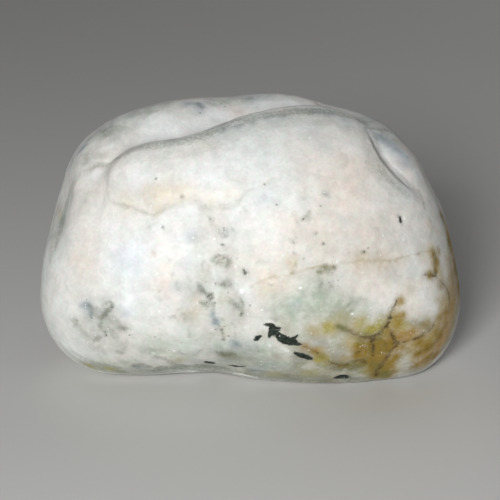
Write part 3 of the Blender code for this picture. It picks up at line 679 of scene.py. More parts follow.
TINTS = {
    "blue": {
        "front": (
            (-32.4, -11.2, 1.1, 0.63), (-31.8, -12.8, 0.8, 0.56), (-33.4, -11.4, 0.8, 0.35),
            (-7.4, -13, 0.7, 0.43), (-6.8, -14.4, 0.8, 0.67), (-2.8, -18.8, 1, 0.26),
            (-14.4, -7.6, 1.2, 0.21), (-23, -2.4, 3.2, 0.08), (-10, 29, 1.2, 0.25),
            (-12.8, 29.4, 1.2, 0.18), (-33.6, 20.2, 1.2, 0.35), (29, 20, 1.6, 0.35),
            (31, 18, 1.6, 0.29), (1.2, -24, 1.4, 0.35), (-22, -23.4, 1.2, 0.29),
            (16, 27.6, 2, 0.18), (-5, -21, 1.6, 0.23), (-12.4, 29.2, 1.2, 0.35),
            (-10, 29.2, 1.2, 0.41), (-10.2, 27.6, 1, 0.31), (3, 10, 1.8, 0.17),
            (12.4, 24, 1.6, 0.14), (15.6, 20, 1.6, 0.12), (19, 26, 1.2, 0.23),
            (-24, -1.6, 2.8, 0.12), (-11.6, 3, 1.6, 0.23), (-12.4, -2.4, 1.6, 0.18),
            (-3.6, -19, 1.6, 0.15), (-33.2, 20.8, 1, 0.4), (28.4, 21.4, 1.2, 0.4),
            (31, 19, 1.2, 0.4), (33.6, 15, 1.2, 0.29), (9.2, -10.8, 1.2, 0.23),
            (26.8, 22, 1.2, 0.35), (-24.8, -12.8, 1.2, 0.29),
        ),
        "back": ((10, -10, 2.4, 0.23), (-10, 18, 2.8, 0.18)),
        "left end": ((-6, 0, 2.4, 0.23),),
        "right end": ((1.6, 13.6, 2.8, 0.18),),
        "top": ((0, 5.6, 2.8, 0.14),),
    },
    # Slate: blue-grey patches, and painted shade along the fold's crest, the limbs and the base.
    "slate_and_shade": {
        "front": (
            (-20, 28.8, 1.2, 0.46), (-16.4, 29.4, 1.2, 0.4), (-8, 30, 1.2, 0.4),
            (-4, 30.4, 1, 0.4), (0, 30.6, 1, 0.35), (4, 30.8, 0.8, 0.29), (-24, 27, 1.2, 0.4),
            (-27.2, 25.8, 1.2, 0.46), (-30, 24, 1.4, 0.51), (-32, 22.4, 1.2, 0.46),
            (-35.6, 17.6, 1.2, 0.46), (-37.2, 14.4, 1.2, 0.46), (-38.6, 10.6, 1.2, 0.51),
            (-39.6, 6.6, 1.2, 0.46), (-40.2, 2, 1, 0.35), (-26, -2.4, 4, 0.17),
            (-20, -10, 3.6, 0.14), (-30, -15, 4.4, 0.19), (-16, 29, 2, 0.15),
            (-10.8, 28.4, 1.6, 0.18), (-35, 20, 2, 0.4), (-38, 12, 2.2, 0.46),
            (-38.4, 5, 1.8, 0.35), (-28, 24, 2, 0.4), (29.4, 20, 1.8, 0.56), (30, 17, 1.6, 0.4),
            (27, 24, 2, 0.51), (24.4, 26.4, 1.8, 0.51), (19, 25.6, 2.4, 0.35),
            (-3, -19, 1.2, 0.35), (-2.8, -18.6, 0.8, 0.35), (-32.4, -11.2, 1, 0.51),
            (-31.8, -12.8, 0.8, 0.56), (-7.6, -12.6, 0.6, 0.31), (-6.8, -14.6, 0.7, 0.51),
            (-6.4, -15.6, 0.6, 0.35), (-9.4, -8.2, 0.8, 0.46), (-5, 3.4, 1, 0.4),
            (15.4, 11.2, 0.8, 0.4), (-2.8, -11.2, 1, 0.35), (-22.4, -23.6, 1.2, 0.51),
            (-4, -21, 1.6, 0.4), (-7, -20.4, 1.4, 0.29), (-24, 21.8, 1.4, 0.18),
            (-20, 22.4, 1.4, 0.17), (-15.6, 22.2, 1.2, 0.17), (-12, 22.4, 1.2, 0.21),
            (-8.8, 23, 1.2, 0.23), (-5.6, 24, 1.2, 0.51), (-2.4, 24.8, 1.2, 0.51),
            (0.4, 25.6, 1.2, 0.51), (3.6, 26.4, 1.2, 0.46), (6.8, 27, 1.2, 0.51),
            (9.6, 27.8, 1.2, 0.46), (12.8, 27.6, 1.4, 0.51), (16, 27, 1.4, 0.4),
            (-12.4, 29.2, 1.2, 0.35), (-10, 29, 1.2, 0.46), (32, 17, 1.4, 0.46),
            (34, 13.6, 1.4, 0.19), (36, 10, 1.2, 0.14), (3, -23.2, 3.2, 0.4),
            (-2, -20.4, 2.4, 0.35), (7, -23.6, 2.8, 0.35), (-5, -22.4, 2, 0.35),
            (0, -19, 2, 0.23), (11, -20, 2.4, 0.29), (13.6, -19, 2, 0.23), (-1, -16, 2.8, 0.14),
            (-5, -14, 2.8, 0.14), (26, 22.6, 1.6, 0.94), (27.6, 21.4, 1.6, 0.67),
            (24.6, 24.4, 1, 0.35), (27.8, 14.8, 1.2, 0.21), (29.4, 13, 1.2, 0.18),
            (25.8, 18, 1, 0.18), (-3.6, -21.6, 2, 0.29), (0, -20, 2, 0.18), (-7, -23.2, 2, 0.35),
        ),
        "back": (
            (10, -10, 3.2, 0.35), (12, -12, 1.4, 0.46), (-10, 18, 4.4, 0.29),
            (22, 10, 3.6, 0.29),
        ),
        "right end": ((2, 14, 4, 0.35), (-4, -8, 3.2, 0.23)),
        "left end": ((-6, 0, 3.6, 0.35), (-20, 14, 3.6, 0.29)),
        "top": ((0, 6, 4.8, 0.23), (16, -2, 3.2, 0.29)),
    },
    # Grey: grey blotches, and painted shade in the right groove, on the upper left ridge and along
    # limbs and base.
    "grey_and_shade": {
        "front": (
            (-29.4, -13.6, 3.6, 0.41), (-29, -13.2, 1.2, 0.41), (-29.8, -15, 1, 0.48),
            (-30.8, -18, 1, 0.48), (-34.8, -14.4, 1, 0.48), (-26, -20.2, 1.2, 0.41),
            (-25.2, -15.6, 1.2, 0.48), (-33, -16, 2, 0.28), (-7.2, -2, 0.7, 0.59),
            (-6.4, -2.6, 0.6, 0.54), (-6.6, -1.4, 0.6, 0.41), (-5, -1.6, 0.5, 0.54),
            (-4.2, -2.4, 0.5, 0.54), (-4.6, -3.2, 0.5, 0.54), (-5.6, -2.4, 1.8, 0.31),
            (-4.8, -6.8, 1.2, 0.48), (-5.8, -6.8, 0.8, 0.35), (-3.8, -6.8, 0.8, 0.35),
            (-9.8, -8, 1, 0.48), (-8, -9.2, 0.8, 0.59), (-9.2, -10.8, 0.7, 0.48),
            (-3.4, -10.6, 0.8, 0.48), (-2.6, -11.4, 0.8, 0.48), (-1.8, -11.4, 0.7, 0.48),
            (-1, -4.4, 0.8, 0.48), (-4, 1, 5.2, 0.17), (-5, -5, 4.8, 0.17),
            (-12, -21, 1.8, 0.13), (16, -20.4, 1.2, 0.35), (5.2, -13.8, 0.6, 0.41),
            (32, -5.6, 1, 0.26), (18.4, -23, 1.8, 0.48), (-5, -21.2, 1.8, 0.54),
            (-2.8, -20.8, 1.6, 0.48), (0, -20.4, 1.4, 0.35), (-11, 2.4, 1.6, 0.22),
            (11, 10.8, 1, 0.28), (11.4, 6.4, 0.8, 0.35), (31.2, -14.4, 1, 0.41),
            (34, -15, 1, 0.41), (24.4, 25.8, 1.8, 0.41), (26.6, 24, 1.6, 0.48),
            (23, 25.6, 1.4, 0.41), (29, 22, 1.2, 0.41), (-28.8, -23, 1.6, 0.48),
            (-31.2, 17.4, 1.2, 0.41), (-32.8, 18, 1.2, 0.48), (-30, 18.4, 1.2, 0.41),
            (-29, 23.4, 1.4, 0.35), (25.2, 20, 1, 0.41), (26, 18, 1, 0.41),
            (26.6, 15.6, 1, 0.28), (-31.6, -23.2, 1.6, 0.54), (-26, -24.2, 1.6, 0.54),
            (-20, -24.2, 1.6, 0.54), (0, -25, 1.6, 0.48), (8, -25.6, 1.6, 0.59),
            (14, -26, 1.6, 0.59), (20.4, -25.8, 1.4, 0.59), (-37.6, 4.8, 1, 0.41),
            (-38.8, 1.2, 1, 0.41), (-35.6, 10.8, 1.2, 0.41), (40, -10, 1.2, 0.48),
            (39.2, -16.8, 1.2, 0.41), (37.4, 2, 0.8, 0.13), (-29.4, -13.6, 4, 0.48),
            (-26, -18, 3.6, 0.35), (-33, -17, 3.2, 0.28), (-22, 27.6, 2.4, 0.41),
            (-17, 28.8, 2, 0.35), (16, -1, 6, 0.17), (26, 0, 4.8, 0.2), (-28.4, 23.4, 2.8, 0.65),
            (-31.6, 19.6, 2, 0.54), (-25, 24.4, 2.4, 0.48), (-38, 3, 3.2, 0.22),
            (19, -22, 2.4, 0.41), (-32.4, 10, 2.8, 0.28), (-20, 8.6, 3.2, 0.15),
            (-8, 5.6, 2.8, 0.15), (5, -11.6, 2, 0.41), (20.4, -11, 2, 0.48),
            (19, -12.4, 1.6, 0.28), (29.6, 13.6, 1.6, 0.17), (-33, 18, 1.6, 0.28),
            (10, -22.2, 1.4, 0.54), (8.6, -21.6, 1, 0.35), (14, -8, 2.8, 0.22),
            (26.8, 16.4, 1.2, 0.28), (28.6, 14, 1.2, 0.28), (-5, -21.4, 2.6, 0.41),
            (-1, -22.6, 2.4, 0.41), (-9, -22.8, 2.4, 0.48), (-14, -22.8, 2.4, 0.35),
            (-26, -22.6, 2.8, 0.22), (-22, -23.2, 2.8, 0.22), (-30, -20.4, 2.4, 0.28),
            (-20, -20.6, 2.4, 0.35), (-12, -8, 2, 0.35), (-7.6, -17.6, 1.6, 0.28),
            (-2, -10, 1.6, 0.35), (0, -12.4, 1.2, 0.28), (-30, -19.6, 2, 0.28),
            (32, -8, 1.4, 0.22), (18.4, -19.6, 1.2, 0.48), (16, -19.2, 1.2, 0.22),
        ),
        "back": (
            (-4, -6, 2.8, 0.41), (-2.8, -10, 1.6, 0.54), (-14, 9, 1.6, 0.35),
            (13.6, 2.8, 1.4, 0.41), (20, -8, 2, 0.41),
        ),
        "right end": ((2.4, -4, 2.4, 0.41), (0, -10, 1.6, 0.48)),
        "left end": ((-5.6, -10, 2.4, 0.48), (-8, -14, 1.8, 0.54), (-20, 2, 1.6, 0.28)),
        "top": ((-8, 2, 1.6, 0.35),),
    },
    "cream": {
        "front": (
            (-20, 10.8, 2, 0.51), (-16, 10.6, 2, 0.57), (-12, 11.6, 2, 0.57),
            (-7.6, 10, 2, 0.46), (-4, 11.2, 1.8, 0.37), (-19, 7.4, 1, 0.62),
            (3.6, -6.8, 2.4, 0.39), (8.4, -5.2, 2.4, 0.39), (14.4, -4.2, 2.4, 0.39),
            (22, -2.4, 2.4, 0.45), (29, -2, 2.4, 0.45), (35, -1, 1.8, 0.51), (-24, 9, 1.6, 0.39),
            (-2, -2.4, 2.4, 0.27), (19, 18, 2.8, 0.27), (-20, 11.6, 1.6, 0.51),
            (-17, 11.6, 1.8, 0.62), (-14, 12, 1.8, 0.51), (-25, 10.4, 1.8, 0.39),
            (-18.4, 8.6, 1, 0.62), (35.8, 5, 1.2, 0.72), (37.4, 3.6, 1, 0.62),
            (11.2, 12, 1.4, 0.45), (14, 2, 3.6, 0.33), (18, 9, 2.8, 0.33), (-10.6, -10, 1, 0.62),
            (-11, -12.4, 1, 0.62), (8.6, -2.4, 1.2, 0.51), (3.6, -5.6, 1.6, 0.45),
            (6.4, -8, 2, 0.45), (-19.4, -0.8, 0.8, 0.51), (33.6, -12, 2.8, 0.45),
            (36, -8, 1.8, 0.39), (-33, -2.4, 2, 0.39), (-17, -3.6, 1.2, 0.33), (38, 7, 1, 0.39),
            (-39.6, 9, 1, 0.39), (-39.6, 5, 1, 0.39), (28.4, -14.4, 1.2, 0.51),
            (32, -8, 1.6, 0.62), (2.4, -8.4, 1.6, 0.39), (33.6, -6.4, 1.2, 0.39),
        ),
        "back": ((-20, 5.2, 2.4, 0.39), (-4, 1.4, 2.4, 0.39)),
        "right end": ((-4, 1.2, 2.4, 0.45), (10, 8.4, 2, 0.33)),
        "left end": ((-16, 1.4, 2, 0.33),),
        "top": ((2, 22, 2.4, 0.33),),
    },
    "blush": {
        "front": (
            (19, 12, 4.8, 0.56), (14, 15.6, 3.6, 0.35), (22, 17, 2.8, 0.4), (14, 5, 4.4, 0.4),
            (8, 5, 3.2, 0.29), (-9, 21, 2.8, 0.29), (-34, 0, 4, 0.46), (-32.4, -5, 3.2, 0.4),
            (-38, -6, 2.4, 0.29), (24, 4, 4, 0.46), (23, -6, 4.4, 0.4), (28, -5, 2.8, 0.29),
            (3, -1.6, 4, 0.35), (-7, -1, 2.4, 0.23), (-18, -7, 2.4, 0.29), (31.6, 15, 1.8, 0.4),
            (-24, 20, 2.4, 0.18), (28.4, 8, 2.4, 0.35), (20, 2, 3.2, 0.35), (22, 12, 2.8, 0.35),
            (-28.4, 19.6, 1.6, 0.35), (-3.6, 28, 2, 0.35), (29, 17, 1.6, 0.35),
            (-4, -9.6, 1.2, 0.35), (-5.6, -2, 1.6, 0.46), (-17, -7, 2, 0.4),
            (-16, -10, 1.6, 0.35), (-35, -2, 2, 0.35), (-30.4, 12, 1.6, 0.29),
            (20, 15, 4.4, 0.18), (10, 20, 3.2, 0.12), (27, 32, 2, 0.23),
        ),
        "back": ((-20, 14, 6.8, 0.46), (6, 14, 6, 0.4), (20, 0, 5.6, 0.4), (-2, 4, 4.8, 0.35)),
        "right end": ((-8, 12, 5.2, 0.46), (10, 2, 5.2, 0.46), (-2, 6, 4, 0.35)),
        "left end": ((-14, 6, 6, 0.4), (-6, 14, 5.2, 0.4), (-18, -8, 4, 0.35)),
        "top": ((-14, 2, 5.2, 0.4), (14, 10, 4.8, 0.35)),
    },
    # Milk: milky white patches, and painted light on the swell at the left, the facet by the groove
    # and the right limb.
    "milk_and_light": {
        "front": (
            (-23.4, -1, 4.4, 0.67), (-24, -10, 2.8, 0.51), (2.4, 5, 3.2, 0.35), (1, 9, 2, 0.28),
            (5, 2, 1.6, 0.28), (-10, 15, 4, 0.56), (-7, 11, 2.4, 0.35), (-12, 8, 1.4, 0.46),
            (-3, 7, 1.6, 0.51), (-14, 1, 2.8, 0.46), (-18.4, 4.8, 2, 0.56),
            (-28, 4.4, 2.4, 0.46), (-30.6, 15.2, 1.2, 0.76), (31, -22, 2.4, 0.56),
            (29.6, -24.8, 1.6, 0.46), (34, -10, 2, 0.56), (20, 20, 2.4, 0.35),
            (-2, 17, 2.8, 0.4), (-22, 14, 2.8, 0.46), (4, 18, 2.8, 0.35), (-14, -15, 2.8, 0.35),
            (-17, -10, 2.8, 0.35), (28.4, 18, 1, 0.35), (-5.6, 27.4, 2, 0.67),
            (-28, 20.4, 1.8, 0.56), (-26, 23, 1.2, 0.46), (-20, 25.4, 2, 0.35),
            (2.4, 29.2, 1.6, 0.56), (8, 29.4, 1.8, 0.67), (11.6, 29.4, 1.2, 0.56),
            (26.4, 19, 1.2, 0.56), (29.2, 16.4, 1.2, 0.56), (31.2, 14.4, 1, 0.46),
            (-11, -19.2, 1.6, 0.67), (-7.6, -19, 1.2, 0.56), (3.6, -19, 1, 0.41),
            (7.2, -20, 1.2, 0.54), (10.8, -23.6, 1, 0.67), (19.2, -24, 1, 0.67),
            (17.6, -19.2, 2, 0.56), (30.8, -21, 1.2, 0.67), (34.8, -10.4, 2, 0.46),
            (-7, -4.8, 1, 0.56), (-1.6, -8.2, 1, 0.56), (-13, -19, 1.6, 0.35),
            (-17, -19, 1.6, 0.29), (-10, 26, 2.8, 0.35), (-16, 26, 2.4, 0.35),
            (3.8, -19, 0.8, 0.46), (7.4, -20.2, 1, 0.56), (38.4, 5, 1.4, 0.56),
            (39, 1.6, 1.2, 0.56), (37.4, 8.4, 1.2, 0.46), (38.6, 5.6, 1.6, 0.67),
            (39.2, 2, 1.4, 0.67), (37.2, 9, 1.2, 0.56), (-20, 23.2, 1.8, 0.56),
            (-15.6, 23.8, 1.8, 0.56), (-11.4, 25.2, 1.8, 0.56), (-7, 27.6, 2.2, 0.51),
            (1.2, 29.4, 1.8, 0.51), (7, 29.8, 1.8, 0.46), (-23.4, -1.4, 3, 0.56),
            (-26.4, -3.6, 2.4, 0.4), (-24.6, -11.2, 1.4, 0.56), (27, 19.4, 1.6, 0.4),
            (28.6, 17, 1.4, 0.4), (25.8, 20.6, 1, 0.76), (27.4, 18.2, 1.1, 0.86),
            (29.2, 15.8, 1.1, 0.86), (31, 13.8, 1, 0.76), (28.4, 19.6, 1.2, 0.46),
            (37.4, 11, 1.2, 0.46), (38.2, 8.4, 1.2, 0.46), (39, 3.6, 1.2, 0.56),
            (39.4, 0.4, 1.2, 0.46), (26.4, 20, 0.8, 0.56), (28.2, 17.2, 0.9, 0.56),
            (30, 14.8, 0.8, 0.56), (-26, -2.4, 2.8, 0.46), (-22, -5, 2, 0.35),
            (-29, -3, 2, 0.29), (-28, 0, 2.4, 0.4), (-22, 2, 2, 0.4), (-3.4, -14, 1, 0.46),
            (10, 10, 2.4, 0.29),
        ),
        "back": ((-10, 6, 4.8, 0.46), (10, 4, 4.8, 0.46), (2, -8, 4, 0.46)),
        "right end": ((0, 2, 4.8, 0.46),),
        "left end": ((-12, 2, 4.8, 0.46),),
        "top": ((-4, 14, 4.8, 0.35),),
    },
    # Mint: pale green patches, and painted shade low down along the base.
    "mint_and_shade": {
        "front": (
            (-10, -23.2, 1.6, 0.75), (-14, -23.4, 1.6, 0.75), (-18, -24, 1.6, 0.75),
            (-22, -24.2, 1.6, 0.75), (-26, -24.2, 1.6, 0.75), (-30, -23.6, 1.6, 0.75),
            (-5, -23.6, 1.6, 0.75), (0, -24.4, 1.8, 0.84), (5, -25.2, 1.8, 0.84),
            (10, -25.6, 1.8, 0.84), (15, -25.8, 1.6, 0.75), (20.4, -25.6, 1.6, 0.75),
            (23.2, -25.6, 1.4, 0.64), (8.8, -11.2, 1.8, 0.61), (17.6, -13.2, 1.4, 0.61),
            (14.4, -8, 2.8, 0.4), (10, -12, 3.6, 0.51), (15, -10, 3.2, 0.46), (18, -13, 2, 0.51),
            (19, -11, 2.8, 0.46), (12, -18, 2.8, 0.64), (19, -19, 2.4, 0.58),
            (8, -14, 2.4, 0.58), (3, -20, 2.4, 0.7), (3, -23, 2.4, 0.84), (10, -24, 2.8, 0.75),
            (16, -24.4, 2.4, 0.75), (-2, -21.6, 2.8, 0.64), (-6, -20, 1.6, 0.51),
            (-10, -20.4, 2.4, 0.51), (-14, -21, 2.4, 0.36), (-18, -19, 2.8, 0.28),
            (-28, -23, 2, 0.75), (-31, -22.4, 1.6, 0.64), (-20, -16, 2.8, 0.19),
            (-34, -23, 1.6, 0.64), (-12, -18, 2, 0.36), (6, -23, 2.4, 0.75),
            (14, -25.2, 2.8, 0.64), (-20, 28, 1.2, 0.64), (-5, 29.8, 1.6, 0.58),
            (-1, 30, 1.6, 0.51), (27, 6.4, 1.4, 0.36), (-37.6, 6, 1.2, 0.51),
            (-17, -18, 1.8, 0.23), (-12, -21.4, 1.6, 0.32), (-24, -22.4, 1.6, 0.64),
            (1.6, -20, 1.4, 0.51), (18, -17, 2, 0.51), (-2, -18.4, 2, 0.58),
            (21, -20, 1.6, 0.44), (23, -12, 2, 0.44), (-5, -19, 2, 0.36), (2.4, -23, 2, 0.51),
            (7, -22.4, 3.2, 0.51), (2, -22.4, 2.8, 0.51), (-2, -22.4, 2.4, 0.51),
            (-5.6, -22.4, 2, 0.51), (10, -19, 2, 0.44), (14.4, -11, 3.6, 0.58),
            (10, -11.6, 2.4, 0.51), (18, -13.6, 2.4, 0.51), (12, -8, 2.8, 0.36),
            (5, -11, 2.4, 0.44), (20, -11.6, 2, 0.44), (-14, -19, 2.8, 0.23),
            (18, -16, 1.6, 0.58), (19.2, -14.4, 1.6, 0.51), (17, -13.2, 1.6, 0.44),
            (14.4, -16, 1.6, 0.36), (-19, -20, 2.8, 0.51), (-10, -17.6, 2.8, 0.28),
            (-7, -18.4, 2, 0.36), (17.6, -17.6, 1, 0.51), (19, -20.4, 1.2, 0.44),
        ),
        "right end": ((8, -18, 6, 0.64), (0, -22, 5.2, 0.64), (16, -10, 4, 0.44)),
        "back": (
            (-10, -16, 6.8, 0.64), (2, -21, 6.8, 0.64), (16, -18, 5.2, 0.51), (-18, -8, 4, 0.44),
        ),
        "left end": ((-2, -18, 6, 0.58), (-12, -20, 4.8, 0.58), (-20, -16, 4, 0.44)),
    },
    "moss": {
        "front": (
            (17.6, -15.3, 0.6, 0.75), (18.6, -15.7, 0.6, 0.84), (19.4, -16.2, 0.5, 0.65),
            (17, -22.8, 0.8, 0.84), (18.2, -23.2, 0.8, 0.91), (19.4, -23, 0.6, 0.84),
            (21, -22.6, 0.8, 0.84), (22.2, -23, 0.8, 0.84), (20.4, -23.8, 0.8, 0.65),
            (23.2, -21.6, 0.6, 0.54), (25.8, -17.6, 0.6, 0.75), (25, -18.2, 0.6, 0.75),
            (-3.2, -21.2, 1.2, 0.41), (-5.2, -21, 1, 0.41), (14, -4.4, 0.5, 0.54),
            (15.2, -3.6, 0.5, 0.65), (16.6, -3.6, 0.5, 0.54), (10, -23, 1, 0.35),
            (12.4, -24.8, 1.2, 0.28), (7, -25.2, 1.2, 0.28), (26.8, -25.2, 1.2, 0.54),
            (25.2, -24.4, 1, 0.41), (24.8, -17.6, 0.8, 0.54), (26.6, -15.6, 0.8, 0.48),
            (24.4, -22.4, 0.8, 0.35), (26.8, -24.8, 1.2, 0.54), (25.6, -23.2, 1, 0.41),
            (25.6, -23.2, 1.2, 0.59), (27, -24.8, 1.4, 0.65), (22.4, -18, 1.2, 0.48),
            (24.2, -20, 0.8, 0.48), (19.6, -23.2, 1.4, 0.54), (21.8, -23.2, 1.2, 0.7),
            (14.4, -21.4, 1, 0.54), (23.2, -17.2, 1, 0.41), (26.8, -19, 0.8, 0.35),
            (22.4, -22.6, 0.8, 0.28), (22, -17, 0.8, 0.28),
        ),
        "right end": ((-7.2, -18, 1.6, 0.54),),
        "back": ((-22, -19, 1.6, 0.54), (-2.8, -16, 1.6, 0.41)),
        "left end": ((-8, -19, 1.8, 0.41),),
    },
    "rust": {
        "front": (
            (29.6, -17.6, 1, 0.87), (31.6, -17.8, 1, 0.87), (33.2, -18, 0.8, 0.69),
            (30.8, -16.8, 1, 0.69), (28.4, -18, 0.8, 0.79), (29, -19.4, 1, 0.69),
            (22.4, -21.6, 1, 0.79), (38, -18.4, 1.8, 0.79), (39.4, -16, 1.6, 0.64),
            (37.2, -21, 1.6, 0.69), (34.8, -22, 1.4, 0.58), (39.6, -13, 1.4, 0.52),
            (13.2, -20.2, 0.8, 0.35), (12, -19.8, 0.6, 0.32), (27.8, -16.4, 0.8, 0.45),
            (40.4, -10, 1, 0.45), (29.2, -17.6, 1, 0.69), (35.6, -20.4, 1.4, 0.58),
            (39.2, -14.4, 1.2, 0.69), (40, -11.6, 1.2, 0.58), (40.4, -7.6, 1, 0.52),
            (40.4, -4, 0.8, 0.45), (34, -22.8, 1.2, 0.58), (31.6, -18, 1.2, 0.26),
            (29.6, -14.4, 1, 0.45), (32.4, -16.6, 1.4, 0.52), (38, -17, 1.2, 0.52),
            (35.2, -20, 1.2, 0.52), (22.4, -20.4, 0.8, 0.45), (11.2, -19.4, 1, 0.52),
            (27.6, -18, 1, 0.52), (25.6, -19, 1, 0.39), (28.4, -16, 1, 0.45),
            (38, -19.2, 1, 0.45),
        ),
        "right end": (
            (-9.2, -8, 1.8, 0.58), (-8.8, -14, 2, 0.69), (-5.2, -16.8, 1.6, 0.58),
            (-12, -20.4, 2.4, 0.69),
        ),
        "back": ((-22.8, -16.4, 1.8, 0.69), (-19.6, -20, 1.8, 0.69)),
        "left end": ((-22, -18.8, 1.6, 0.58),),
    },
    "olive": {
        "front": (
            (24.2, -16, 1.4, 0.92), (25.6, -15.4, 0.8, 0.85), (29.2, -14.8, 1.2, 0.72),
            (26.8, -16.6, 1, 0.67), (22.4, -16.6, 1, 0.56), (15.2, -15.6, 1.2, 0.67),
            (14.4, -21.6, 1, 0.92), (13.6, -22.2, 0.8, 0.67), (15.2, -22.6, 1, 0.56),
            (27, -24.6, 1.2, 0.77), (18, -13.4, 1.2, 0.14), (37.2, -4, 0.6, 0.77),
            (21, -18.6, 1.2, 0.43), (23.6, -24, 1.6, 0.5), (25.4, -19.4, 1.2, 0.67),
            (32.4, -19.2, 1.2, 0.43), (36.2, -18, 1.4, 0.5), (8.4, -2.4, 1.2, 0.16),
            (26, -14.4, 1.2, 0.77), (22.4, -14.4, 1.4, 0.5), (28, -13.2, 0.8, 0.56),
            (16, -16, 1.2, 0.5), (19, -13.6, 1.8, 0.16), (30.8, -15.2, 1.2, 0.56),
            (3.2, -7, 1.2, 0.08), (-38, 6.8, 1, 0.37), (-32, -23.2, 1.4, 0.5),
            (-28, -23.8, 1.4, 0.5), (-14, -22, 1.2, 0.3), (5, -24.8, 1.6, 0.37),
            (12, -24.8, 1.6, 0.37), (38, -4.4, 1, 0.43), (27.6, -14.8, 1.2, 0.43),
            (13.6, -21.4, 0.8, 0.5),
        ),
        "right end": ((-10, -11.2, 1.4, 0.56), (-7.6, -19.2, 1.8, 0.67)),
        "back": ((-20.8, -18.8, 1.8, 0.67),),
    },
    "golden": {
        "front": (
            (25.6, -20, 2, 0.97), (26.6, -22.4, 1.8, 0.97), (24, -21.6, 1.6, 0.93),
            (22.8, -19.2, 1.6, 0.87), (26.4, -18.4, 1.4, 0.87), (27.6, -24.4, 1.6, 0.93),
            (24.2, -23.6, 1.2, 0.78), (29.2, -21.4, 1, 0.67), (27.6, -24, 1.2, 0.93),
            (25.6, -24.8, 1.2, 0.87), (29.2, -13.2, 0.8, 0.59), (28, -19, 1.2, 0.87),
            (23.2, -19.4, 1.4, 0.78), (22, -21, 1.2, 0.78), (37.4, -2.4, 0.8, 0.87),
            (36, -5, 0.6, 0.87), (31.6, -20, 1.6, 0.61), (35, -20, 1.8, 0.78),
            (36.4, -21.4, 1.4, 0.78), (21.6, -19, 1.2, 0.47), (21.2, -21.2, 1, 0.54),
            (23, -20.4, 1.2, 0.87), (24.8, -21.6, 1.4, 0.93), (26.8, -20.4, 1.4, 0.93),
            (25.2, -23.2, 1.4, 0.93), (27.2, -25.2, 1.2, 0.93), (28.6, -22.4, 1, 0.78),
            (29.2, -14.4, 0.8, 0.51), (28.6, -16.8, 1, 0.59), (30.4, -17.2, 1, 0.67),
            (32.4, -16.4, 1.2, 0.67), (34, -18.4, 1.4, 0.78), (36, -19.2, 1.4, 0.78),
            (37.6, -17.6, 1.4, 0.78), (38.8, -15.2, 1.2, 0.78), (39.2, -12.4, 1, 0.67),
            (35.6, -21.6, 1.2, 0.78), (33.2, -23.2, 1.2, 0.73), (37.2, -21.2, 1, 0.78),
            (36.6, -1, 0.8, 0.78), (20.4, -20, 0.8, 0.3), (23.8, -18.8, 1, 0.78),
            (30.6, -13.2, 1, 0.83), (29.6, -15, 1, 0.55), (27.2, -16.4, 1, 0.51),
            (33.6, -20.8, 1.2, 0.73), (37.6, -10, 1.2, 0.31), (38.2, -13.6, 1.2, 0.73),
            (37.6, -16, 1.2, 0.73), (38, -7, 1, 0.54), (25.2, -18.8, 1.2, 0.78),
            (35, -15, 1.2, 0.54), (25.6, -24.8, 1.6, 0.73), (37.2, -3.6, 0.8, 0.61),
            (22.4, -18.4, 1.2, 0.54), (22.2, -23, 1, 0.61), (12.6, -20.4, 1, 0.54),
            (27.6, -20.8, 1.8, 0.45), (26.4, -23.4, 1.6, 0.67), (30, -19.6, 1.2, 0.61),
            (36, -4.8, 0.7, 0.5), (37.6, -0.2, 0.8, 0.73), (30.4, -10.2, 0.7, 0.54),
            (22.4, -22.4, 1, 0.54),
        ),
        "right end": (
            (-9.6, -3.6, 1.2, 0.67), (-10.4, -16, 1.8, 0.87), (-10.8, -20, 1.8, 0.87),
            (-10.8, -10, 1.8, 0.78), (-11.2, -15, 1.8, 0.78),
        ),
        "back": ((-20.4, -20.4, 1.8, 0.87),),
    },
    "specks": {
        "front": (
            (-5.6, -2.4, 2.8, 0.7), (-8, -9.6, 2.8, 0.8), (-4.8, -7.2, 2.8, 0.7),
            (-5.6, -17, 2.8, 0.5), (-1.4, -10, 2.4, 0.6), (-29.2, -13.6, 4, 0.8),
            (15.4, -3.6, 2.4, 0.7), (19, -10, 2.8, 0.4), (2.4, -20.4, 4.4, 0.5),
            (18, -22.4, 3.6, 0.5), (-14, -21.2, 4.8, 0.5), (32, -16, 2.8, 0.5),
            (11.2, 8.4, 2.8, 0.4), (-5, 4, 2.4, 0.4), (-26, -20, 4, 0.5), (29, 6.2, 1.4, 0.4),
            (-4, 1, 2.8, 0.4), (26, 24.4, 2.4, 0.5), (10, -23.6, 4, 0.4),
        ),
        "back": ((-4, -8, 4.4, 0.7), (13.6, 2, 3.6, 0.5), (-14, 8, 4, 0.4), (-14, -14, 4.8, 0.5)),
        "right end": ((2, -6, 4.8, 0.6), (12, -14, 4, 0.5)),
        "left end": ((-6, -11.6, 4.8, 0.6), (-10, 10, 3.6, 0.4)),
        "top": ((-8, 3, 4, 0.4),),
    },
    # Khaki: khaki patches in the stain, and painted shade low on the front and on the right end.
    "khaki_and_shade": {
        "front": (
            (12, -24.4, 2.4, 0.82), (16, -24.4, 2.4, 0.82), (20, -24.8, 2, 0.82),
            (10, -22.4, 2, 0.78), (14, -19, 2.4, 0.73), (18, -20, 2.4, 0.73),
            (16, -16.4, 2.4, 0.68), (20, -17.6, 2, 0.73), (21, -15, 2, 0.62),
            (25.6, -15.2, 2, 0.68), (30, -21.4, 2, 0.73), (30, -16, 2, 0.62),
            (32.6, -15.6, 2, 0.82), (35, -15, 2, 0.9), (36, -17, 2, 0.82), (38, -14, 1.6, 0.82),
            (39, -10, 1.6, 0.73), (38.4, -6, 1.6, 0.62), (37.2, -2.4, 1.2, 0.62),
            (33, -22, 2, 0.73), (30, -24.2, 2, 0.73), (25, -25.6, 1.6, 0.73),
            (7.4, -24.4, 2.4, 0.73), (3, -25, 2, 0.68), (-1, -24.4, 1.8, 0.62),
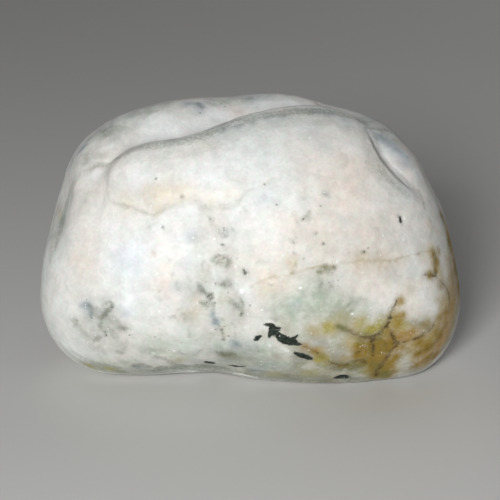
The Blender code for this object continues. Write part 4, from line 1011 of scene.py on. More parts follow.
            (-4, -23.2, 1.6, 0.62), (7, -17.2, 2, 0.56), (9.2, -19.6, 2, 0.68),
            (5.6, -21.6, 2, 0.56), (10.4, -20.8, 2, 0.73), (12, -17, 2, 0.56),
            (22.4, -23.6, 1.8, 0.73), (-11, -13, 2.8, 0.38), (-5, -10, 2.4, 0.46),
            (-5, -15.2, 2.4, 0.49), (-9, -5, 2, 0.35), (-2, -13, 2, 0.38),
            (-13.6, -13.6, 1.8, 0.42), (36, -20, 1.6, 0.62), (34, -23.6, 1.6, 0.62),
            (26, -13.6, 1.6, 0.49), (18, -22.8, 2, 0.62), (15, -22, 1.8, 0.62),
            (0, -22, 2.4, 0.49), (29, -5, 2.4, 0.27), (-38, 8, 1.2, 0.49), (-39, 3, 1.2, 0.42),
            (-32.8, -23, 1.4, 0.49), (-7.6, -23.2, 1.6, 0.56), (16, -25.6, 5.2, 0.73),
            (25, -24.8, 4, 0.56), (21, -21, 2.8, 0.56), (18, -17, 2.8, 0.49),
            (14, -20.4, 2.8, 0.56), (10, -24.4, 3.2, 0.62), (28.4, -19, 2.8, 0.49),
            (34, -16, 2.4, 0.49), (17, -14.4, 2.4, 0.49), (14, -13.6, 2.4, 0.35),
            (7, -15, 2, 0.35), (33, -23.2, 2.4, 0.62), (35, -22, 2.4, 0.68),
            (37.2, -20.4, 2, 0.73), (39, -18.4, 1.8, 0.73), (17, -14.4, 1.8, 0.56),
            (21.2, -16, 1.8, 0.62), (12.4, -21.2, 1.8, 0.62), (14.4, -22.4, 1.8, 0.56),
            (19, -19, 1.6, 0.35), (2.4, -17, 1.4, 0.42), (20, -20.4, 1.6, 0.35),
            (-24, -22.8, 2.8, 0.31), (-18, -23.2, 2.4, 0.42), (41, -12, 1.6, 0.49),
            (39.8, -16, 1.6, 0.49),
        ),
        "right end": (
            (-10, -6, 2.8, 0.82), (-9.2, -12, 2.8, 0.82), (-9.2, -18, 2.8, 0.82),
            (-4, -20.4, 4, 0.73), (6, -21.2, 4.8, 0.56), (-17.2, -20.4, 2.8, 0.73),
            (-16.4, -24.4, 2.8, 0.73), (-14.8, -16, 2.4, 0.62), (-15.6, -20.4, 2.4, 0.82),
            (-16, -24.4, 2.4, 0.82), (-14, -17, 2, 0.73), (-17.4, -28.4, 2.4, 0.73),
            (-13.6, -22.4, 2.4, 0.73), (-16.4, -17, 2, 0.56), (-12.8, -20, 2.4, 0.56),
            (-14.8, -28.4, 2.4, 0.56),
        ),
        "back": ((-20, -18, 4, 0.62), (-4, -20.4, 4.8, 0.49), (12, -20, 4, 0.49)),
        "left end": ((-18, -19.2, 3.6, 0.56), (-4, -20, 3.6, 0.56)),
    },
    "ochre": {
        "front": (
            (35, -19, 2.4, 0.75), (37, -17, 2, 0.75), (38.2, -14, 1.8, 0.75),
            (38.6, -11, 1.4, 0.65), (34, -21, 2, 0.65), (32.4, -18, 1.8, 0.24),
            (30, -13.6, 1.2, 0.65), (31, -16, 1.6, 0.24), (27.2, -16, 1.6, 0.65),
            (22.4, -19.4, 1.6, 0.75), (19, -22, 1.4, 0.48), (23.2, -22.4, 1.6, 0.65),
            (28.4, -23.6, 1.2, 0.65), (27, -25.2, 1.8, 0.65), (13.6, -20.4, 1.2, 0.65),
            (14.4, -21.6, 1.2, 0.54), (16, -15.6, 1.4, 0.48), (12.8, -16, 1.4, 0.41),
            (36.8, -2.4, 1.2, 0.65), (37.4, -7, 1, 0.17), (36.2, 0, 1.2, 0.54),
            (26, -2.4, 2, 0.28), (22, -2.4, 2, 0.22), (21, -15, 1.4, 0.48),
            (20, -18.4, 1.6, 0.48), (36, -22.4, 1.4, 0.54), (30, -10.6, 0.8, 0.48),
            (29.2, -12.2, 0.8, 0.54), (30.2, -10.2, 1, 0.7), (36, -4.8, 1, 0.54),
            (29.2, -13.6, 1.2, 0.35), (35, -23, 1, 0.48),
        ),
        "right end": (
            (-10.4, -10, 2.4, 0.65), (-10.8, -16, 2.4, 0.65), (-8.8, -20, 2.4, 0.54),
            (-18, -19, 2.8, 0.7), (-17, -23, 2.8, 0.7), (-15.6, -15.6, 2.4, 0.59),
            (-14.8, -11.6, 1.8, 0.48), (-18, -27, 2.4, 0.65),
        ),
    },
}

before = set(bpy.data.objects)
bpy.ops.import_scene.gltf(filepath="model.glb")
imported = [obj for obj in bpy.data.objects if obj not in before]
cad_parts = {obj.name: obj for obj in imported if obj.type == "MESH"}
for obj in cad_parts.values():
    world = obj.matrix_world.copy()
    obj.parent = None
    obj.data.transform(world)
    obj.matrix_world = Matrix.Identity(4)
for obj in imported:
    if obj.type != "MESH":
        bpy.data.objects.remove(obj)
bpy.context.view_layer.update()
cad_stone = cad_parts["pebble"]


# ---------------------------------------------------------------- drawing on the stone


def back_towards(azimuth, elevation):
    """The direction from the stone to something at these angles, in degrees from its front."""
    azimuth, elevation = math.radians(azimuth), math.radians(elevation)
    level = Vector((math.sin(azimuth), -math.cos(azimuth), 0)) * math.cos(elevation)
    return level + Vector((0, 0, math.sin(elevation)))


def eye_axes(sheet):
    """Right, up and back towards the eye, for a sheet."""
    back = back_towards(*SHEETS[sheet])
    azimuth = math.radians(SHEETS[sheet][0])
    right = Vector((math.cos(azimuth), math.sin(azimuth), 0))
    return right, back.cross(right), back


def look_through(tree, sheet, across, high):
    """Where the sight line through a place on the sheet meets the stone, or None."""
    right, up, back = eye_axes(sheet)
    eye = AIM + back * EYE_DISTANCE
    through = AIM + (right * across + up * high) * MM
    place, _, _, _ = tree.ray_cast(eye, (through - eye).normalized())
    return place


def smooth_line(points, step):
    """The given points joined by a smooth curve and spaced about one step apart."""
    points = np.array(points, float)
    if len(points) == 1:
        points = np.vstack([points, points])
        points[1, 0] += step / 10
    padded = np.vstack([2 * points[0] - points[1], points, 2 * points[-1] - points[-2]])
    line = []
    for before, here, after, beyond in zip(padded, padded[1:], padded[2:], padded[3:]):
        steps = max(1, math.ceil(np.hypot(*(after - here)[:2]) / step))
        for t in np.arange(steps) / steps:
            line.append(
                0.5
                * (
                    2 * here
                    + (after - before) * t
                    + (2 * before - 5 * here + 4 * after - beyond) * t**2
                    + (3 * here - before - 3 * after + beyond) * t**3
                )
            )
    line.append(points[-1])
    return np.array(line)


def lay_lines(name, drawn, tree, weight_unit=1.0):
    """An object of bare edges that lie on the stone along the drawn lines.

    Its points carry a half width and a weight: how deep a crease is there, or how strong a mark.
    """
    points, edges, sizes = [], [], []
    for sheet, line in ((sheet, line) for sheet, group in drawn.items() for line in group):
        previous = None
        for across, high, *size in smooth_line(line, LINE_STEP):
            place = look_through(tree, sheet, across, high)
            if place is None:
                previous = None
                continue
            points.append(place)
            sizes.append([*size, 1.0][:2])
            if previous is None:
                edges.append((len(points) - 1, len(points) - 1))
            else:
                edges.append((previous, len(points) - 1))
            previous = len(points) - 1
    mesh = bpy.data.meshes.new(name)
    mesh.from_pydata(points, [edge for edge in edges if edge[0] != edge[1]], [])
    for column, (attribute, unit) in enumerate((("half_width", MM), ("weight", weight_unit))):
        values = mesh.attributes.new(attribute, "FLOAT", "POINT")
        values.data.foreach_set("value", np.array(sizes)[:, column] * unit)
    lines = bpy.data.objects.new(name, mesh)
    bpy.context.scene.collection.objects.link(lines)
    return lines


# ---------------------------------------------------------------- building node trees


def add(tree, kind, inputs=None, **settings):
    """A new node with these settings. Each input is a value, or the output that feeds it."""
    node = tree.nodes.new(kind)
    for name, value in settings.items():
        setattr(node, name, value)
    for name, value in (inputs or {}).items():
        if isinstance(value, bpy.types.NodeSocket):
            tree.links.new(value, node.inputs[name])
        else:
            node.inputs[name].default_value = value
    return node


def maths(tree, operation, *values, clamp=False):
    """The result of a sum on numbers."""
    inputs = dict(enumerate(values))
    return add(tree, "ShaderNodeMath", inputs, operation=operation, use_clamp=clamp).outputs[0]


def vectors(tree, operation, *values):
    """The result of a sum on vectors, which is a number for a length, distance or dot product."""
    node = add(tree, "ShaderNodeVectorMath", dict(enumerate(values)), operation=operation)
    return node.outputs["Value" if operation in ("LENGTH", "DISTANCE", "DOT_PRODUCT") else "Vector"]


def ease(tree, value, start, end, low=0.0, high=1.0):
    """value from start to end, eased to a value from low to high."""
    inputs = {"Value": value, "From Min": start, "From Max": end, "To Min": low, "To Max": high}
    node = add(tree, "ShaderNodeMapRange", inputs, interpolation_type="SMOOTHSTEP")
    return node.outputs["Result"]


def noise(tree, vector, size, detail=2.0, roughness=0.5, seed=0, output=0):
    """Noise whose features are about size metres across, from 0 to 1, around 0.5."""
    inputs = {"Vector": vector, "W": seed * NOISE_SPACING, "Scale": 1 / size}
    inputs.update({"Detail": detail, "Roughness": roughness})
    return add(tree, "ShaderNodeTexNoise", inputs, noise_dimensions="4D").outputs[output]


def wandering(tree, vector, normal, size, reach, seed):
    """A vector along the skin that wanders within about reach metres, over size metres."""
    drift = noise(tree, vector, size, detail=3, roughness=0.6, seed=seed, output=1)
    drift = vectors(tree, "SUBTRACT", drift, (0.5, 0.5, 0.5))
    outward = maths(tree, "MULTIPLY", vectors(tree, "DOT_PRODUCT", drift, normal), -1.0)
    outward = add(tree, "ShaderNodeCombineXYZ", {0: outward, 1: outward, 2: outward}).outputs[0]
    drift = vectors(tree, "MULTIPLY_ADD", normal, outward, drift)
    return vectors(tree, "MULTIPLY", drift, (4 * reach, 4 * reach, 4 * reach))


# ---------------------------------------------------------------- the worn skin


def moved(tree, geometry, offset):
    """The geometry with every point moved by offset."""
    inputs = {"Geometry": geometry, "Offset": offset}
    return add(tree, "GeometryNodeSetPosition", inputs).outputs["Geometry"]


def placed(tree, geometry, position):
    """The geometry with every point put at position."""
    inputs = {"Geometry": geometry, "Position": position}
    return add(tree, "GeometryNodeSetPosition", inputs).outputs["Geometry"]


def nearest_on(tree, lines, position):
    """The vector from a point of the skin to the nearest place on the lines."""
    inputs = {"Geometry": lines, "Sample Position": position}
    near = add(tree, "GeometryNodeProximity", inputs, target_element="EDGES")
    return vectors(tree, "SUBTRACT", near.outputs["Position"], position)


def size_at_nearest(tree, lines, position, attribute):
    """A size of the lines, read at their point nearest to a point of the skin."""
    inputs = {"Geometry": lines, "Sample Position": position}
    index = add(tree, "GeometryNodeSampleNearest", inputs, domain="POINT").outputs["Index"]
    named = add(tree, "GeometryNodeInputNamedAttribute", {"Name": attribute}, data_type="FLOAT")
    inputs = {"Geometry": lines, "Value": named.outputs["Attribute"], "Index": index}
    node = add(tree, "GeometryNodeSampleIndex", inputs, data_type="FLOAT", domain="POINT")
    return node.outputs["Value"]


def stored(tree, geometry, name, value, data_type):
    """The geometry with value kept at its points under a name."""
    inputs = {"Geometry": geometry, "Name": name, "Value": value}
    node = add(
        tree, "GeometryNodeStoreNamedAttribute", inputs, data_type=data_type, domain="POINT"
    )
    return node.outputs["Geometry"]


def worn_skin_tree(line_sets):
    """Wraps a fine mesh round the solid stone, rounds it, and carves and marks it."""
    tree = bpy.data.node_groups.new("worn skin", "GeometryNodeTree")
    sockets = [
        ("Geometry", "NodeSocketGeometry", None),
        ("Solid stone", "NodeSocketObject", None),
        ("Middle", "NodeSocketVector", (0, 0, 0)),
        ("Half size", "NodeSocketVector", (1, 1, 1)),
        ("Cells along", "NodeSocketInt", 100),
        ("Cells across", "NodeSocketInt", 100),
        ("Cells up", "NodeSocketInt", 100),
        ("Rounding passes", "NodeSocketInt", 1),
        ("Seed", "NodeSocketFloat", 0.0),
    ]
    for number in range(len(SWELLS)):
        sockets.append((f"Swell {number} size", "NodeSocketFloat", 1.0))
        sockets.append((f"Swell {number} height", "NodeSocketFloat", 0.0))
    sockets += [(name, "NodeSocketObject", None) for name in line_sets]
    sockets.append(("Stone", "NodeSocketMaterial", None))
    for name, kind, value in sockets:
        socket = tree.interface.new_socket(name, in_out="INPUT", socket_type=kind)
        if value is not None:
            socket.default_value = value
    tree.interface.new_socket("Geometry", in_out="OUTPUT", socket_type="NodeSocketGeometry")
    given = tree.nodes.new("NodeGroupInput").outputs
    position = add(tree, "GeometryNodeInputPosition").outputs[0]
    normal = add(tree, "GeometryNodeInputNormal").outputs[0]

    # A box of even cells is blown out to a ball that stands well clear of the stone.
    inputs = {"Size": (2, 2, 2)}
    inputs.update({"Vertices X": given["Cells along"], "Vertices Y": given["Cells across"]})
    inputs["Vertices Z"] = given["Cells up"]
    skin = add(tree, "GeometryNodeMeshCube", inputs).outputs["Mesh"]
    quarter = vectors(tree, "MULTIPLY", position, (math.pi / 4,) * 3)
    ball = vectors(tree, "NORMALIZE", vectors(tree, "TANGENT", quarter))
    ball = vectors(tree, "MULTIPLY", ball, given["Half size"])
    ball = vectors(tree, "MULTIPLY_ADD", ball, (2, 2, 2), given["Middle"])
    skin = placed(tree, skin, ball)

    # Every point falls straight towards the middle until it meets the solid stone.
    solid = add(tree, "GeometryNodeObjectInfo", {"Object": given["Solid stone"]})
    inputs = {"Geometry": solid.outputs["Geometry"], "Distance": 0.001 * MM}
    solid = add(tree, "GeometryNodeMergeByDistance", inputs).outputs["Geometry"]
    inward = vectors(tree, "SUBTRACT", given["Middle"], position)
    inputs = {"Target Geometry": solid, "Source Position": position, "Ray Direction": inward}
    inputs["Ray Length"] = 1.0
    fall = add(tree, "GeometryNodeRaycast", inputs)
    skin = placed(tree, skin, fall.outputs["Hit Position"])

    # Wear rounds off the solid's small flats.
    inputs = {"Value": position, "Iterations": given["Rounding passes"]}
    worn = add(tree, "GeometryNodeBlurAttribute", inputs, data_type="FLOAT_VECTOR")
    skin = placed(tree, skin, worn.outputs["Value"])

    # It stays smooth where it rests, and is uneven and creased elsewhere.
    height = add(tree, "ShaderNodeSeparateXYZ", {"Vector": position}).outputs["Z"]
    free = ease(tree, height, 0.02 * MM, 0.7 * MM)
    rise = 0.0
    for number in range(len(SWELLS)):
        size = maths(tree, "DIVIDE", 1.0, given[f"Swell {number} size"])
        inputs = {"Vector": position, "W": given["Seed"], "Scale": size, "Detail": 1.0}
        swell = add(tree, "ShaderNodeTexNoise", inputs, noise_dimensions="4D").outputs[0]
        swell = maths(tree, "SUBTRACT", swell, 0.5)
        rise = maths(tree, "MULTIPLY_ADD", swell, given[f"Swell {number} height"], rise)
    lines = {}
    for name in line_sets:
        info = add(tree, "GeometryNodeObjectInfo", {"Object": given[name]})
        lines[name] = info.outputs["Geometry"]
    creases = lines["Creases"]
    away = vectors(tree, "LENGTH", nearest_on(tree, creases, position))
    half_width = size_at_nearest(tree, creases, position, "half_width")
    depth = size_at_nearest(tree, creases, position, "weight")
    bank = maths(tree, "MULTIPLY", half_width, CREASE_BANK)
    dip = ease(tree, away, bank, 0.0)
    rise = maths(tree, "MULTIPLY", rise, ease(tree, height, 0.05 * MM, 2.0 * MM))
    carved = maths(tree, "MULTIPLY", maths(tree, "MULTIPLY", dip, depth), free)
    rise = maths(tree, "SUBTRACT", rise, carved)
    lift = add(tree, "ShaderNodeVectorMath", {0: normal, "Scale": rise}, operation="SCALE")
    skin = moved(tree, skin, lift.outputs["Vector"])

    # Every point remembers which way it faces, the way to the nearest line of each kind, and
    # that line's sizes.
    skin = stored(tree, skin, "facing", normal, "FLOAT_VECTOR")
    for name in line_sets:
        plain = name.lower().replace(" ", "_")
        way = nearest_on(tree, lines[name], position)
        skin = stored(tree, skin, f"{plain}_way", way, "FLOAT_VECTOR")
        skin = stored(tree, skin, f"{plain}_away", vectors(tree, "LENGTH", way), "FLOAT")
        for size in ("half_width", "weight"):
            value = size_at_nearest(tree, lines[name], position, size)
            skin = stored(tree, skin, f"{plain}_{size}", value, "FLOAT")

    skin = add(tree, "GeometryNodeSetShadeSmooth", {"Geometry": skin}).outputs["Geometry"]
    skin = add(tree, "GeometryNodeRealizeInstances", {"Geometry": skin}).outputs["Geometry"]
    inputs = {"Geometry": skin, "Material": given["Stone"]}
    skin = add(tree, "GeometryNodeSetMaterial", inputs).outputs["Geometry"]
    tree.links.new(skin, tree.nodes.new("NodeGroupOutput").inputs["Geometry"])
    return tree


def grow_skin(line_sets, material):
    """The stone's fine mesh, as a plain mesh object."""
    low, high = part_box("pebble")
    low, high = Vector(low), Vector(high)
    tree = worn_skin_tree(line_sets)
    blank = bpy.data.objects.new("skin", bpy.data.meshes.new("skin"))
    bpy.context.scene.collection.objects.link(blank)
    modifier = blank.modifiers.new("worn skin", "NODES")
    modifier.node_group = tree
    values = {
        "Solid stone": cad_stone,
        "Middle": (low + high) / 2,
        "Half size": (high - low) / 2,
        "Cells along": CELLS[0],
        "Cells across": CELLS[1],
        "Cells up": CELLS[2],
        "Rounding passes": ROUNDING_PASSES,
        "Seed": float(SEED),
        "Stone": material,
        **line_sets,
    }
    for number, (size, height) in enumerate(SWELLS):
        values[f"Swell {number} size"] = size * MM
        values[f"Swell {number} height"] = height * MM
    for socket in tree.interface.items_tree:
        if socket.in_out == "INPUT" and socket.name in values:
            modifier[socket.identifier] = values[socket.name]
    depsgraph = bpy.context.evaluated_depsgraph_get()
    mesh = bpy.data.meshes.new_from_object(blank.evaluated_get(depsgraph))
    mesh.name = "pebble_skin"
    stone = bpy.data.objects.new("worn_stone", mesh)
    bpy.context.scene.collection.objects.link(stone)
    bpy.data.objects.remove(blank)
    return stone


# ---------------------------------------------------------------- tints


def paint_tints(stone, tree):
    """Each tint is a soft field on the stone, from 0 to 1, built up from its spots."""
    mesh = stone.data
    points = np.empty(len(mesh.vertices) * 3)
    mesh.vertices.foreach_get("co", points)
    points = points.reshape(-1, 3)
    for name, groups in TINTS.items():
        bare = np.ones(len(points))
        for sheet, spots in groups.items():
            for across, high, reach, strength in spots:
                place = look_through(tree, sheet, across, high)
                if place is not None:
                    away = ((points - place) ** 2).sum(axis=1) / (reach * MM) ** 2
                    bare *= 1 - strength * np.exp(-away)
        values = mesh.attributes.new(f"tint_{name}", "FLOAT", "POINT")
        values.data.foreach_set("value", 1 - bare)


# ---------------------------------------------------------------- the stone's material

COOL_WHITE = (0.803, 0.828, 0.808, 1)
WARM_WHITE = (0.825, 0.80, 0.755, 1)
SMUDGE_AND_SHADE_GREY = (0.34, 0.365, 0.31, 1)
SPECK_GREEN = (0.17, 0.19, 0.15, 1)
VEIN_TAN = (0.40, 0.34, 0.19, 1)
STAIN_BROWN = (0.20, 0.13, 0.03, 1)
HALO_BROWN = (0.22, 0.155, 0.04, 1)
SEAM_BROWN = (0.09, 0.052, 0.012, 1)
CREASE_DIRT_AND_SHADE = (0.34, 0.29, 0.22, 1)
FLECK_RIM = (0.24, 0.28, 0.21, 1)
FLECK_DARK = (0.006, 0.01, 0.007, 1)
FLECK_PALE = (0.04, 0.055, 0.043, 1)
SCUFF_AND_HIGHLIGHT_WHITE = (0.97, 0.98, 0.97, 1)


def attribute(tree, name, output):
    """What the skin keeps under a name, for a material."""
    node = add(tree, "ShaderNodeAttribute", attribute_name=name, attribute_type="GEOMETRY")
    return node.outputs[output]


def mixed(tree, share, first, second, blend="MIX"):
    """first turned into second by share, as colours."""
    inputs = {"Factor": share, 6: first, 7: second}
    node = add(tree, "ShaderNodeMix", inputs, data_type="RGBA", blend_type=blend)
    return node.outputs[2]


def line_mask(tree, name, wobble, edge, swelling=1.0):
    """A kind of line's strength on it and 0 off it, with a wavering edge that is edge wide.

    The lines are swelling times as wide as drawn.
    """
    away = vectors(tree, "ADD", attribute(tree, f"{name}_way", "Vector"), wobble)
    least = attribute(tree, f"{name}_away", "Fac")
    least = maths(tree, "SUBTRACT", least, vectors(tree, "LENGTH", wobble))
    away = maths(tree, "MAXIMUM", vectors(tree, "LENGTH", away), least)
    half_width = maths(tree, "MULTIPLY", attribute(tree, f"{name}_half_width", "Fac"), swelling)
    beyond = maths(tree, "SUBTRACT", away, half_width)
    return maths(
        tree, "MULTIPLY", ease(tree, beyond, edge, -edge), attribute(tree, f"{name}_weight", "Fac")
    )


def stone_material():
    """Pale cloudy stone with everything that colours it, from the body outwards,
    and the painted shade and highlights among its marks.
    """
    material = bpy.data.materials.new("pale_speckled_stone")
    material.use_nodes = True
    tree = material.node_tree
    surface = tree.nodes["Principled BSDF"]
    place = add(tree, "ShaderNodeTexCoord").outputs["Object"]
    facing = attribute(tree, "facing", "Vector")

    # Cloudy body colour, between a cool white and a warm one.
    cloud = noise(tree, place, 14 * MM, detail=4, roughness=0.55, seed=1)
    fine_cloud = noise(tree, place, 3.2 * MM, detail=4, roughness=0.6, seed=2)
    cloudy = maths(tree, "MULTIPLY_ADD", fine_cloud, 0.5, cloud)
    colour = mixed(tree, ease(tree, cloudy, 0.58, 0.92), COOL_WHITE, WARM_WHITE)

    # Soft tints, each broken up by ragged patches. Milk also carries painted light,
    # and slate, grey, khaki and mint carry painted shade.
    ragged = noise(tree, place, 2.0 * MM, detail=5, roughness=0.68, seed=3)
    for name, tint, low, high in (
        ("milk_and_light", (0.93, 0.96, 0.975, 1), 0.7, 1.2),
        ("cream", (0.78, 0.685, 0.555, 1), 0.55, 1.3),
        ("blush", (0.85, 0.74, 0.66, 1), 0.45, 1.3),
        ("mint_and_shade", (0.47, 0.535, 0.44, 1), 0.6, 1.3),
        ("khaki_and_shade", (0.44, 0.415, 0.31, 1), 0.6, 1.2),
        ("blue", (0.30, 0.42, 0.56, 1), 0.7, 1.2),
        ("slate_and_shade", (0.33, 0.38, 0.40, 1), 0.6, 1.2),
        ("grey_and_shade", (0.36, 0.37, 0.32, 1), 0.5, 1.3),
    ):
        share = attribute(tree, f"tint_{name}", "Fac")
        broken = maths(tree, "MULTIPLY", share, ease(tree, ragged, 0.3, 0.68, low, high))
        colour = mixed(tree, maths(tree, "MINIMUM", broken, 0.95), colour, tint)

    # Mottling: patches a little darker or paler, and a little greener or pinker.
    mottle = noise(tree, place, 2.2 * MM, detail=4, roughness=0.55, seed=9)
    grain = noise(tree, place, 0.6 * MM, detail=3, roughness=0.6, seed=4)
    shade = ease(tree, mottle, 0.3, 0.7, 0.90, 1.05)
    shade = maths(tree, "MULTIPLY", shade, ease(tree, grain, 0.25, 0.75, 0.94, 1.04))
    turn = noise(tree, place, 1.2 * MM, detail=2, seed=10)
    hue = mixed(tree, ease(tree, turn, 0.35, 0.65), (0.985, 1.01, 0.985, 1), (1.015, 0.99, 1.0, 1))
    colour = mixed(tree, 1.0, colour, hue, blend="MULTIPLY")
    grey_shade = add(tree, "ShaderNodeCombineXYZ", {0: shade, 1: shade, 2: shade}).outputs[0]
    colour = mixed(tree, 1.0, colour, grey_shade, blend="MULTIPLY")

    # Smudges: soft, speckled darker marks, and painted shade on the crest, groove, flank and base.
    speckle = noise(tree, place, 0.55 * MM, detail=3, roughness=0.65, seed=11)
    blurred = wandering(tree, place, facing, 1.2 * MM, 0.3 * MM, 12)
    smudge_and_shade = line_mask(tree, "smudges", blurred, 0.42 * MM)
    smudge_and_shade = maths(tree, "MULTIPLY", smudge_and_shade, ease(tree, speckle, 0.35, 0.62, 0.5, 1.15))
    colour = mixed(tree, smudge_and_shade, colour, SMUDGE_AND_SHADE_GREY, blend="MULTIPLY")

    # Specks: small dark grains, thick only where the specks tint is strong.
    cells = add(tree, "ShaderNodeTexVoronoi", {"Vector": place, "Scale": 1 / (0.8 * MM)})
    drawn = add(tree, "ShaderNodeSeparateColor", {"Color": cells.outputs["Color"]})
    crowd = attribute(tree, "tint_specks", "Fac")
    crowded = maths(tree, "MULTIPLY_ADD", crowd, 0.26, 0.003)
    chosen = maths(tree, "LESS_THAN", drawn.outputs[0], crowded)
    reach = maths(tree, "MULTIPLY_ADD", drawn.outputs[1], 0.20, 0.10)
    dot = ease(tree, maths(tree, "SUBTRACT", cells.outputs["Distance"], reach), 0.10, -0.08)
    speck = maths(tree, "MULTIPLY", maths(tree, "MULTIPLY", dot, chosen), 0.55)
    colour = mixed(tree, speck, colour, SPECK_GREEN)

    # Tan veins.
    wobble = wandering(tree, place, facing, 1.0 * MM, 0.28 * MM, 5)
    swelling = ease(tree, turn, 0.3, 0.7, 0.45, 1.45)
    vein = line_mask(tree, "tan_veins", wobble, 0.3 * MM, swelling)
    vein = maths(tree, "MULTIPLY", vein, ease(tree, ragged, 0.35, 0.6, 0.45, 1.0))
    colour = mixed(tree, vein, colour, VEIN_TAN)

    # Iron stain: olive, rust, moss and golden patches that have soaked out of brown seams.
    soaked = ease(tree, ragged, 0.3, 0.64, 0.6, 1.3)
    stained = 0.0
    halo = ease(tree, attribute(tree, "rusty_seams_away", "Fac"), 1.5 * MM, 0.1 * MM)
    halo = maths(tree, "MULTIPLY", halo, attribute(tree, "rusty_seams_weight", "Fac"))
    halo = maths(tree, "MULTIPLY", halo, ease(tree, speckle, 0.35, 0.65, 0.15, 0.8))
    for name, tint in (
        ("ochre", (0.56, 0.43, 0.20, 1)),
        ("rust", (0.56, 0.34, 0.12, 1)),
        ("olive", (0.45, 0.40, 0.09, 1)),
        ("golden", (0.31, 0.20, 0.017, 1)),
        ("moss", (0.17, 0.185, 0.06, 1)),
    ):
        share = maths(tree, "MULTIPLY", attribute(tree, f"tint_{name}", "Fac"), soaked)
        colour = mixed(tree, maths(tree, "MINIMUM", share, 0.95), colour, tint)
        stained = maths(tree, "MAXIMUM", stained, share, clamp=True)
    uneven = ease(tree, speckle, 0.35, 0.65, 0.42, 0.0)
    colour = mixed(tree, maths(tree, "MULTIPLY", uneven, stained), colour, STAIN_BROWN)
    colour = mixed(tree, halo, colour, HALO_BROWN)
    crooked = wandering(tree, place, facing, 0.7 * MM, 0.26 * MM, 13)
    seam = line_mask(tree, "rusty_seams", crooked, 0.22 * MM, swelling)
    seam = maths(tree, "MULTIPLY", seam, ease(tree, speckle, 0.35, 0.6, 0.6, 1.2))
    seam = maths(tree, "MULTIPLY", seam, ease(tree, ragged, 0.36, 0.58, 0.4, 1.1), clamp=True)
    colour = mixed(tree, seam, colour, SEAM_BROWN)

    # Creases are darkened a little, more where deeper: brownish dirt in the cracks, and painted
    # shade in the chip at the base.
    crease_darkening_strength = ease(tree, ragged, 0.35, 0.65, 0.05, 0.4)
    dirt_and_shade = ease(tree, attribute(tree, "creases_away", "Fac"), 0.42 * MM, 0.05 * MM)
    deep = ease(tree, attribute(tree, "creases_weight", "Fac"), 0.0, 0.3 * MM)
    dirt_and_shade = maths(tree, "MULTIPLY", maths(tree, "MULTIPLY", dirt_and_shade, deep), crease_darkening_strength)
    colour = mixed(tree, dirt_and_shade, colour, CREASE_DIRT_AND_SHADE)

    # Flecks of dark green mineral, each in a thin grey-green rim; the big one at the chip
    # in the base is painted shadow.
    jagged = wandering(tree, place, facing, 0.9 * MM, 0.2 * MM, 7)
    rim = line_mask(tree, "dark_flecks", jagged, 0.42 * MM)
    colour = mixed(tree, maths(tree, "MULTIPLY", rim, 0.5), colour, FLECK_RIM)
    fleck = line_mask(tree, "dark_flecks", jagged, 0.14 * MM)
    fleck = maths(tree, "MULTIPLY", fleck, ease(tree, speckle, 0.3, 0.5, 0.88, 1.0))
    fleck_colour = mixed(tree, ease(tree, grain, 0.3, 0.7), FLECK_DARK, FLECK_PALE)
    colour = mixed(tree, fleck, colour, fleck_colour)

    # Pale scuffs and chips, with painted highlights among them, and a few crystal faces painted
    # white as glints, which are also a little glossier.
    scuff_and_highlight = line_mask(tree, "pale_scuffs", wobble, 0.18 * MM)
    facets = add(tree, "ShaderNodeTexVoronoi", {"Vector": place, "Scale": 1 / (0.42 * MM)})
    pick = add(tree, "ShaderNodeSeparateColor", {"Color": facets.outputs["Color"]})
    glint = maths(tree, "GREATER_THAN", pick.outputs[0], 0.984)
    near = maths(tree, "LESS_THAN", facets.outputs["Distance"], 0.36)
    glint = maths(tree, "MULTIPLY", maths(tree, "MULTIPLY", glint, near), 0.5)
    pale = maths(tree, "MAXIMUM", maths(tree, "MULTIPLY", scuff_and_highlight, 0.8), glint)
    colour = mixed(tree, pale, colour, SCUFF_AND_HIGHLIGHT_WHITE)
    tree.links.new(colour, surface.inputs["Base Color"])

    satin = ease(tree, fine_cloud, 0.3, 0.7, 0.40, 0.54)
    satin = maths(tree, "SUBTRACT", satin, maths(tree, "MULTIPLY", pale, 0.2))
    tree.links.new(satin, surface.inputs["Roughness"])

    # Relief too fine for the mesh.
    pitted = noise(tree, place, 1.5 * MM, detail=5, roughness=0.68, seed=8)
    relief = maths(tree, "MULTIPLY", pitted, 0.15)
    relief = maths(tree, "MULTIPLY_ADD", grain, 0.04, relief)
    relief = maths(tree, "MULTIPLY_ADD", seam, -0.08, relief)
    relief = maths(tree, "MULTIPLY_ADD", dirt_and_shade, -0.05, relief)
    relief = maths(tree, "MULTIPLY_ADD", speck, -0.05, relief)
    inputs = {"Height": relief, "Strength": 0.6, "Distance": 1.0 * MM}
    bump = add(tree, "ShaderNodeBump", inputs).outputs["Normal"]
    tree.links.new(bump, surface.inputs["Normal"])
    surface.inputs["Subsurface Weight"].default_value = 0.04
    surface.inputs["Subsurface Radius"].default_value = (1.0, 0.85, 0.7)
    surface.inputs["Subsurface Scale"].default_value = 1.0 * MM
    surface.inputs["Specular IOR Level"].default_value = 0.22
    return material


# ---------------------------------------------------------------- floor, light and camera

FLOOR_SIDE = 8.0
FLOOR_COLOUR = (0.66, 0.655, 0.64)
FLOOR_ROUGHNESS = 0.7
SKY_STRENGTH = 0.06


def plain_material(name, colour, roughness):
    """A material of one even colour."""
    material = bpy.data.materials.new(name)
    material.use_nodes = True
    surface = material.node_tree.nodes["Principled BSDF"]
    surface.inputs["Base Color"].default_value = (*colour, 1)
    surface.inputs["Roughness"].default_value = roughness
    return material


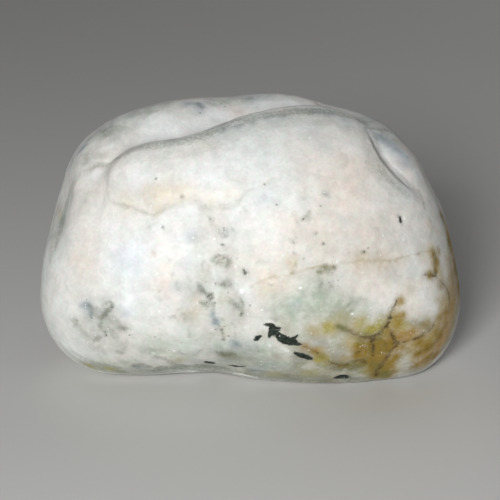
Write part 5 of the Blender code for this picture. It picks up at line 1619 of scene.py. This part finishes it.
def lay_floor():
    """A plain pale floor under the stone."""
    half = FLOOR_SIDE / 2
    mesh = bpy.data.meshes.new("floor")
    corners = [(-half, -half, 0), (half, -half, 0), (half, half, 0), (-half, half, 0)]
    mesh.from_pydata(corners, [], [(0, 1, 2, 3)])
    mesh.materials.append(plain_material("pale_floor", FLOOR_COLOUR, FLOOR_ROUGHNESS))
    floor = bpy.data.objects.new("floor", mesh)
    bpy.context.scene.collection.objects.link(floor)


def aimed_at_stone(name, data, back, distance):
    """A camera or a lamp that stands this far back from the stone and looks at it."""
    holder = bpy.data.objects.new(name, data)
    holder.location = AIM + back * distance
    holder.rotation_mode = "QUATERNION"
    holder.rotation_quaternion = (-back).to_track_quat("-Z", "Y")
    bpy.context.scene.collection.objects.link(holder)
    return holder


def hang_light(name, azimuth, elevation, distance, size, power):
    """A square soft light. Angles are in degrees, lengths in metres and power in watts."""
    light = bpy.data.lights.new(name, "AREA")
    light.size = size
    light.energy = power
    aimed_at_stone(name, light, back_towards(azimuth, elevation), distance)


def light_studio():
    """Soft lights in front, overhead and behind, and a dim even sky."""
    hang_light("key", -13, 22, 0.5, 0.12, 2.08)
    hang_light("overhead", 20, 75, 1.2, 1.2, 0.3)
    hang_light("behind", 150, 35, 1.2, 1.0, 2.0)
    world = bpy.data.worlds.new("studio")
    world.use_nodes = True
    sky = world.node_tree.nodes["Background"]
    sky.inputs["Color"].default_value = (1, 1, 1, 1)
    sky.inputs["Strength"].default_value = SKY_STRENGTH
    bpy.context.scene.world = world
    bpy.context.scene.view_settings.view_transform = "Standard"


def set_up_camera():
    """The camera stands where the front sheet's eye is."""
    camera = bpy.data.cameras.new("camera")
    camera.sensor_width = SENSOR_WIDTH
    camera.lens = LENS
    back = back_towards(*SHEETS["front"])
    bpy.context.scene.camera = aimed_at_stone("camera", camera, back, EYE_DISTANCE)


# ---------------------------------------------------------------- putting it together


depsgraph = bpy.context.evaluated_depsgraph_get()
solid_tree = BVHTree.FromObject(cad_stone, depsgraph)
line_sets = {
    "Creases": lay_lines("creases", CREASES, solid_tree, weight_unit=MM),
    "Rusty seams": lay_lines("rusty seams", RUSTY_SEAMS, solid_tree),
    "Tan veins": lay_lines("tan veins", TAN_VEINS, solid_tree),
    "Pale scuffs": lay_lines("pale scuffs", PALE_SCUFFS_AND_HIGHLIGHTS, solid_tree),
    "Smudges": lay_lines("smudges", SMUDGES_AND_SHADE, solid_tree),
    "Dark flecks": lay_lines("dark flecks", DARK_FLECKS, solid_tree),
}
stone = grow_skin(line_sets, stone_material())
for lines in line_sets.values():
    bpy.data.objects.remove(lines)
paint_tints(stone, solid_tree)
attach(stone, "root")
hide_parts("pebble")

lay_floor()
light_studio()
set_up_camera()
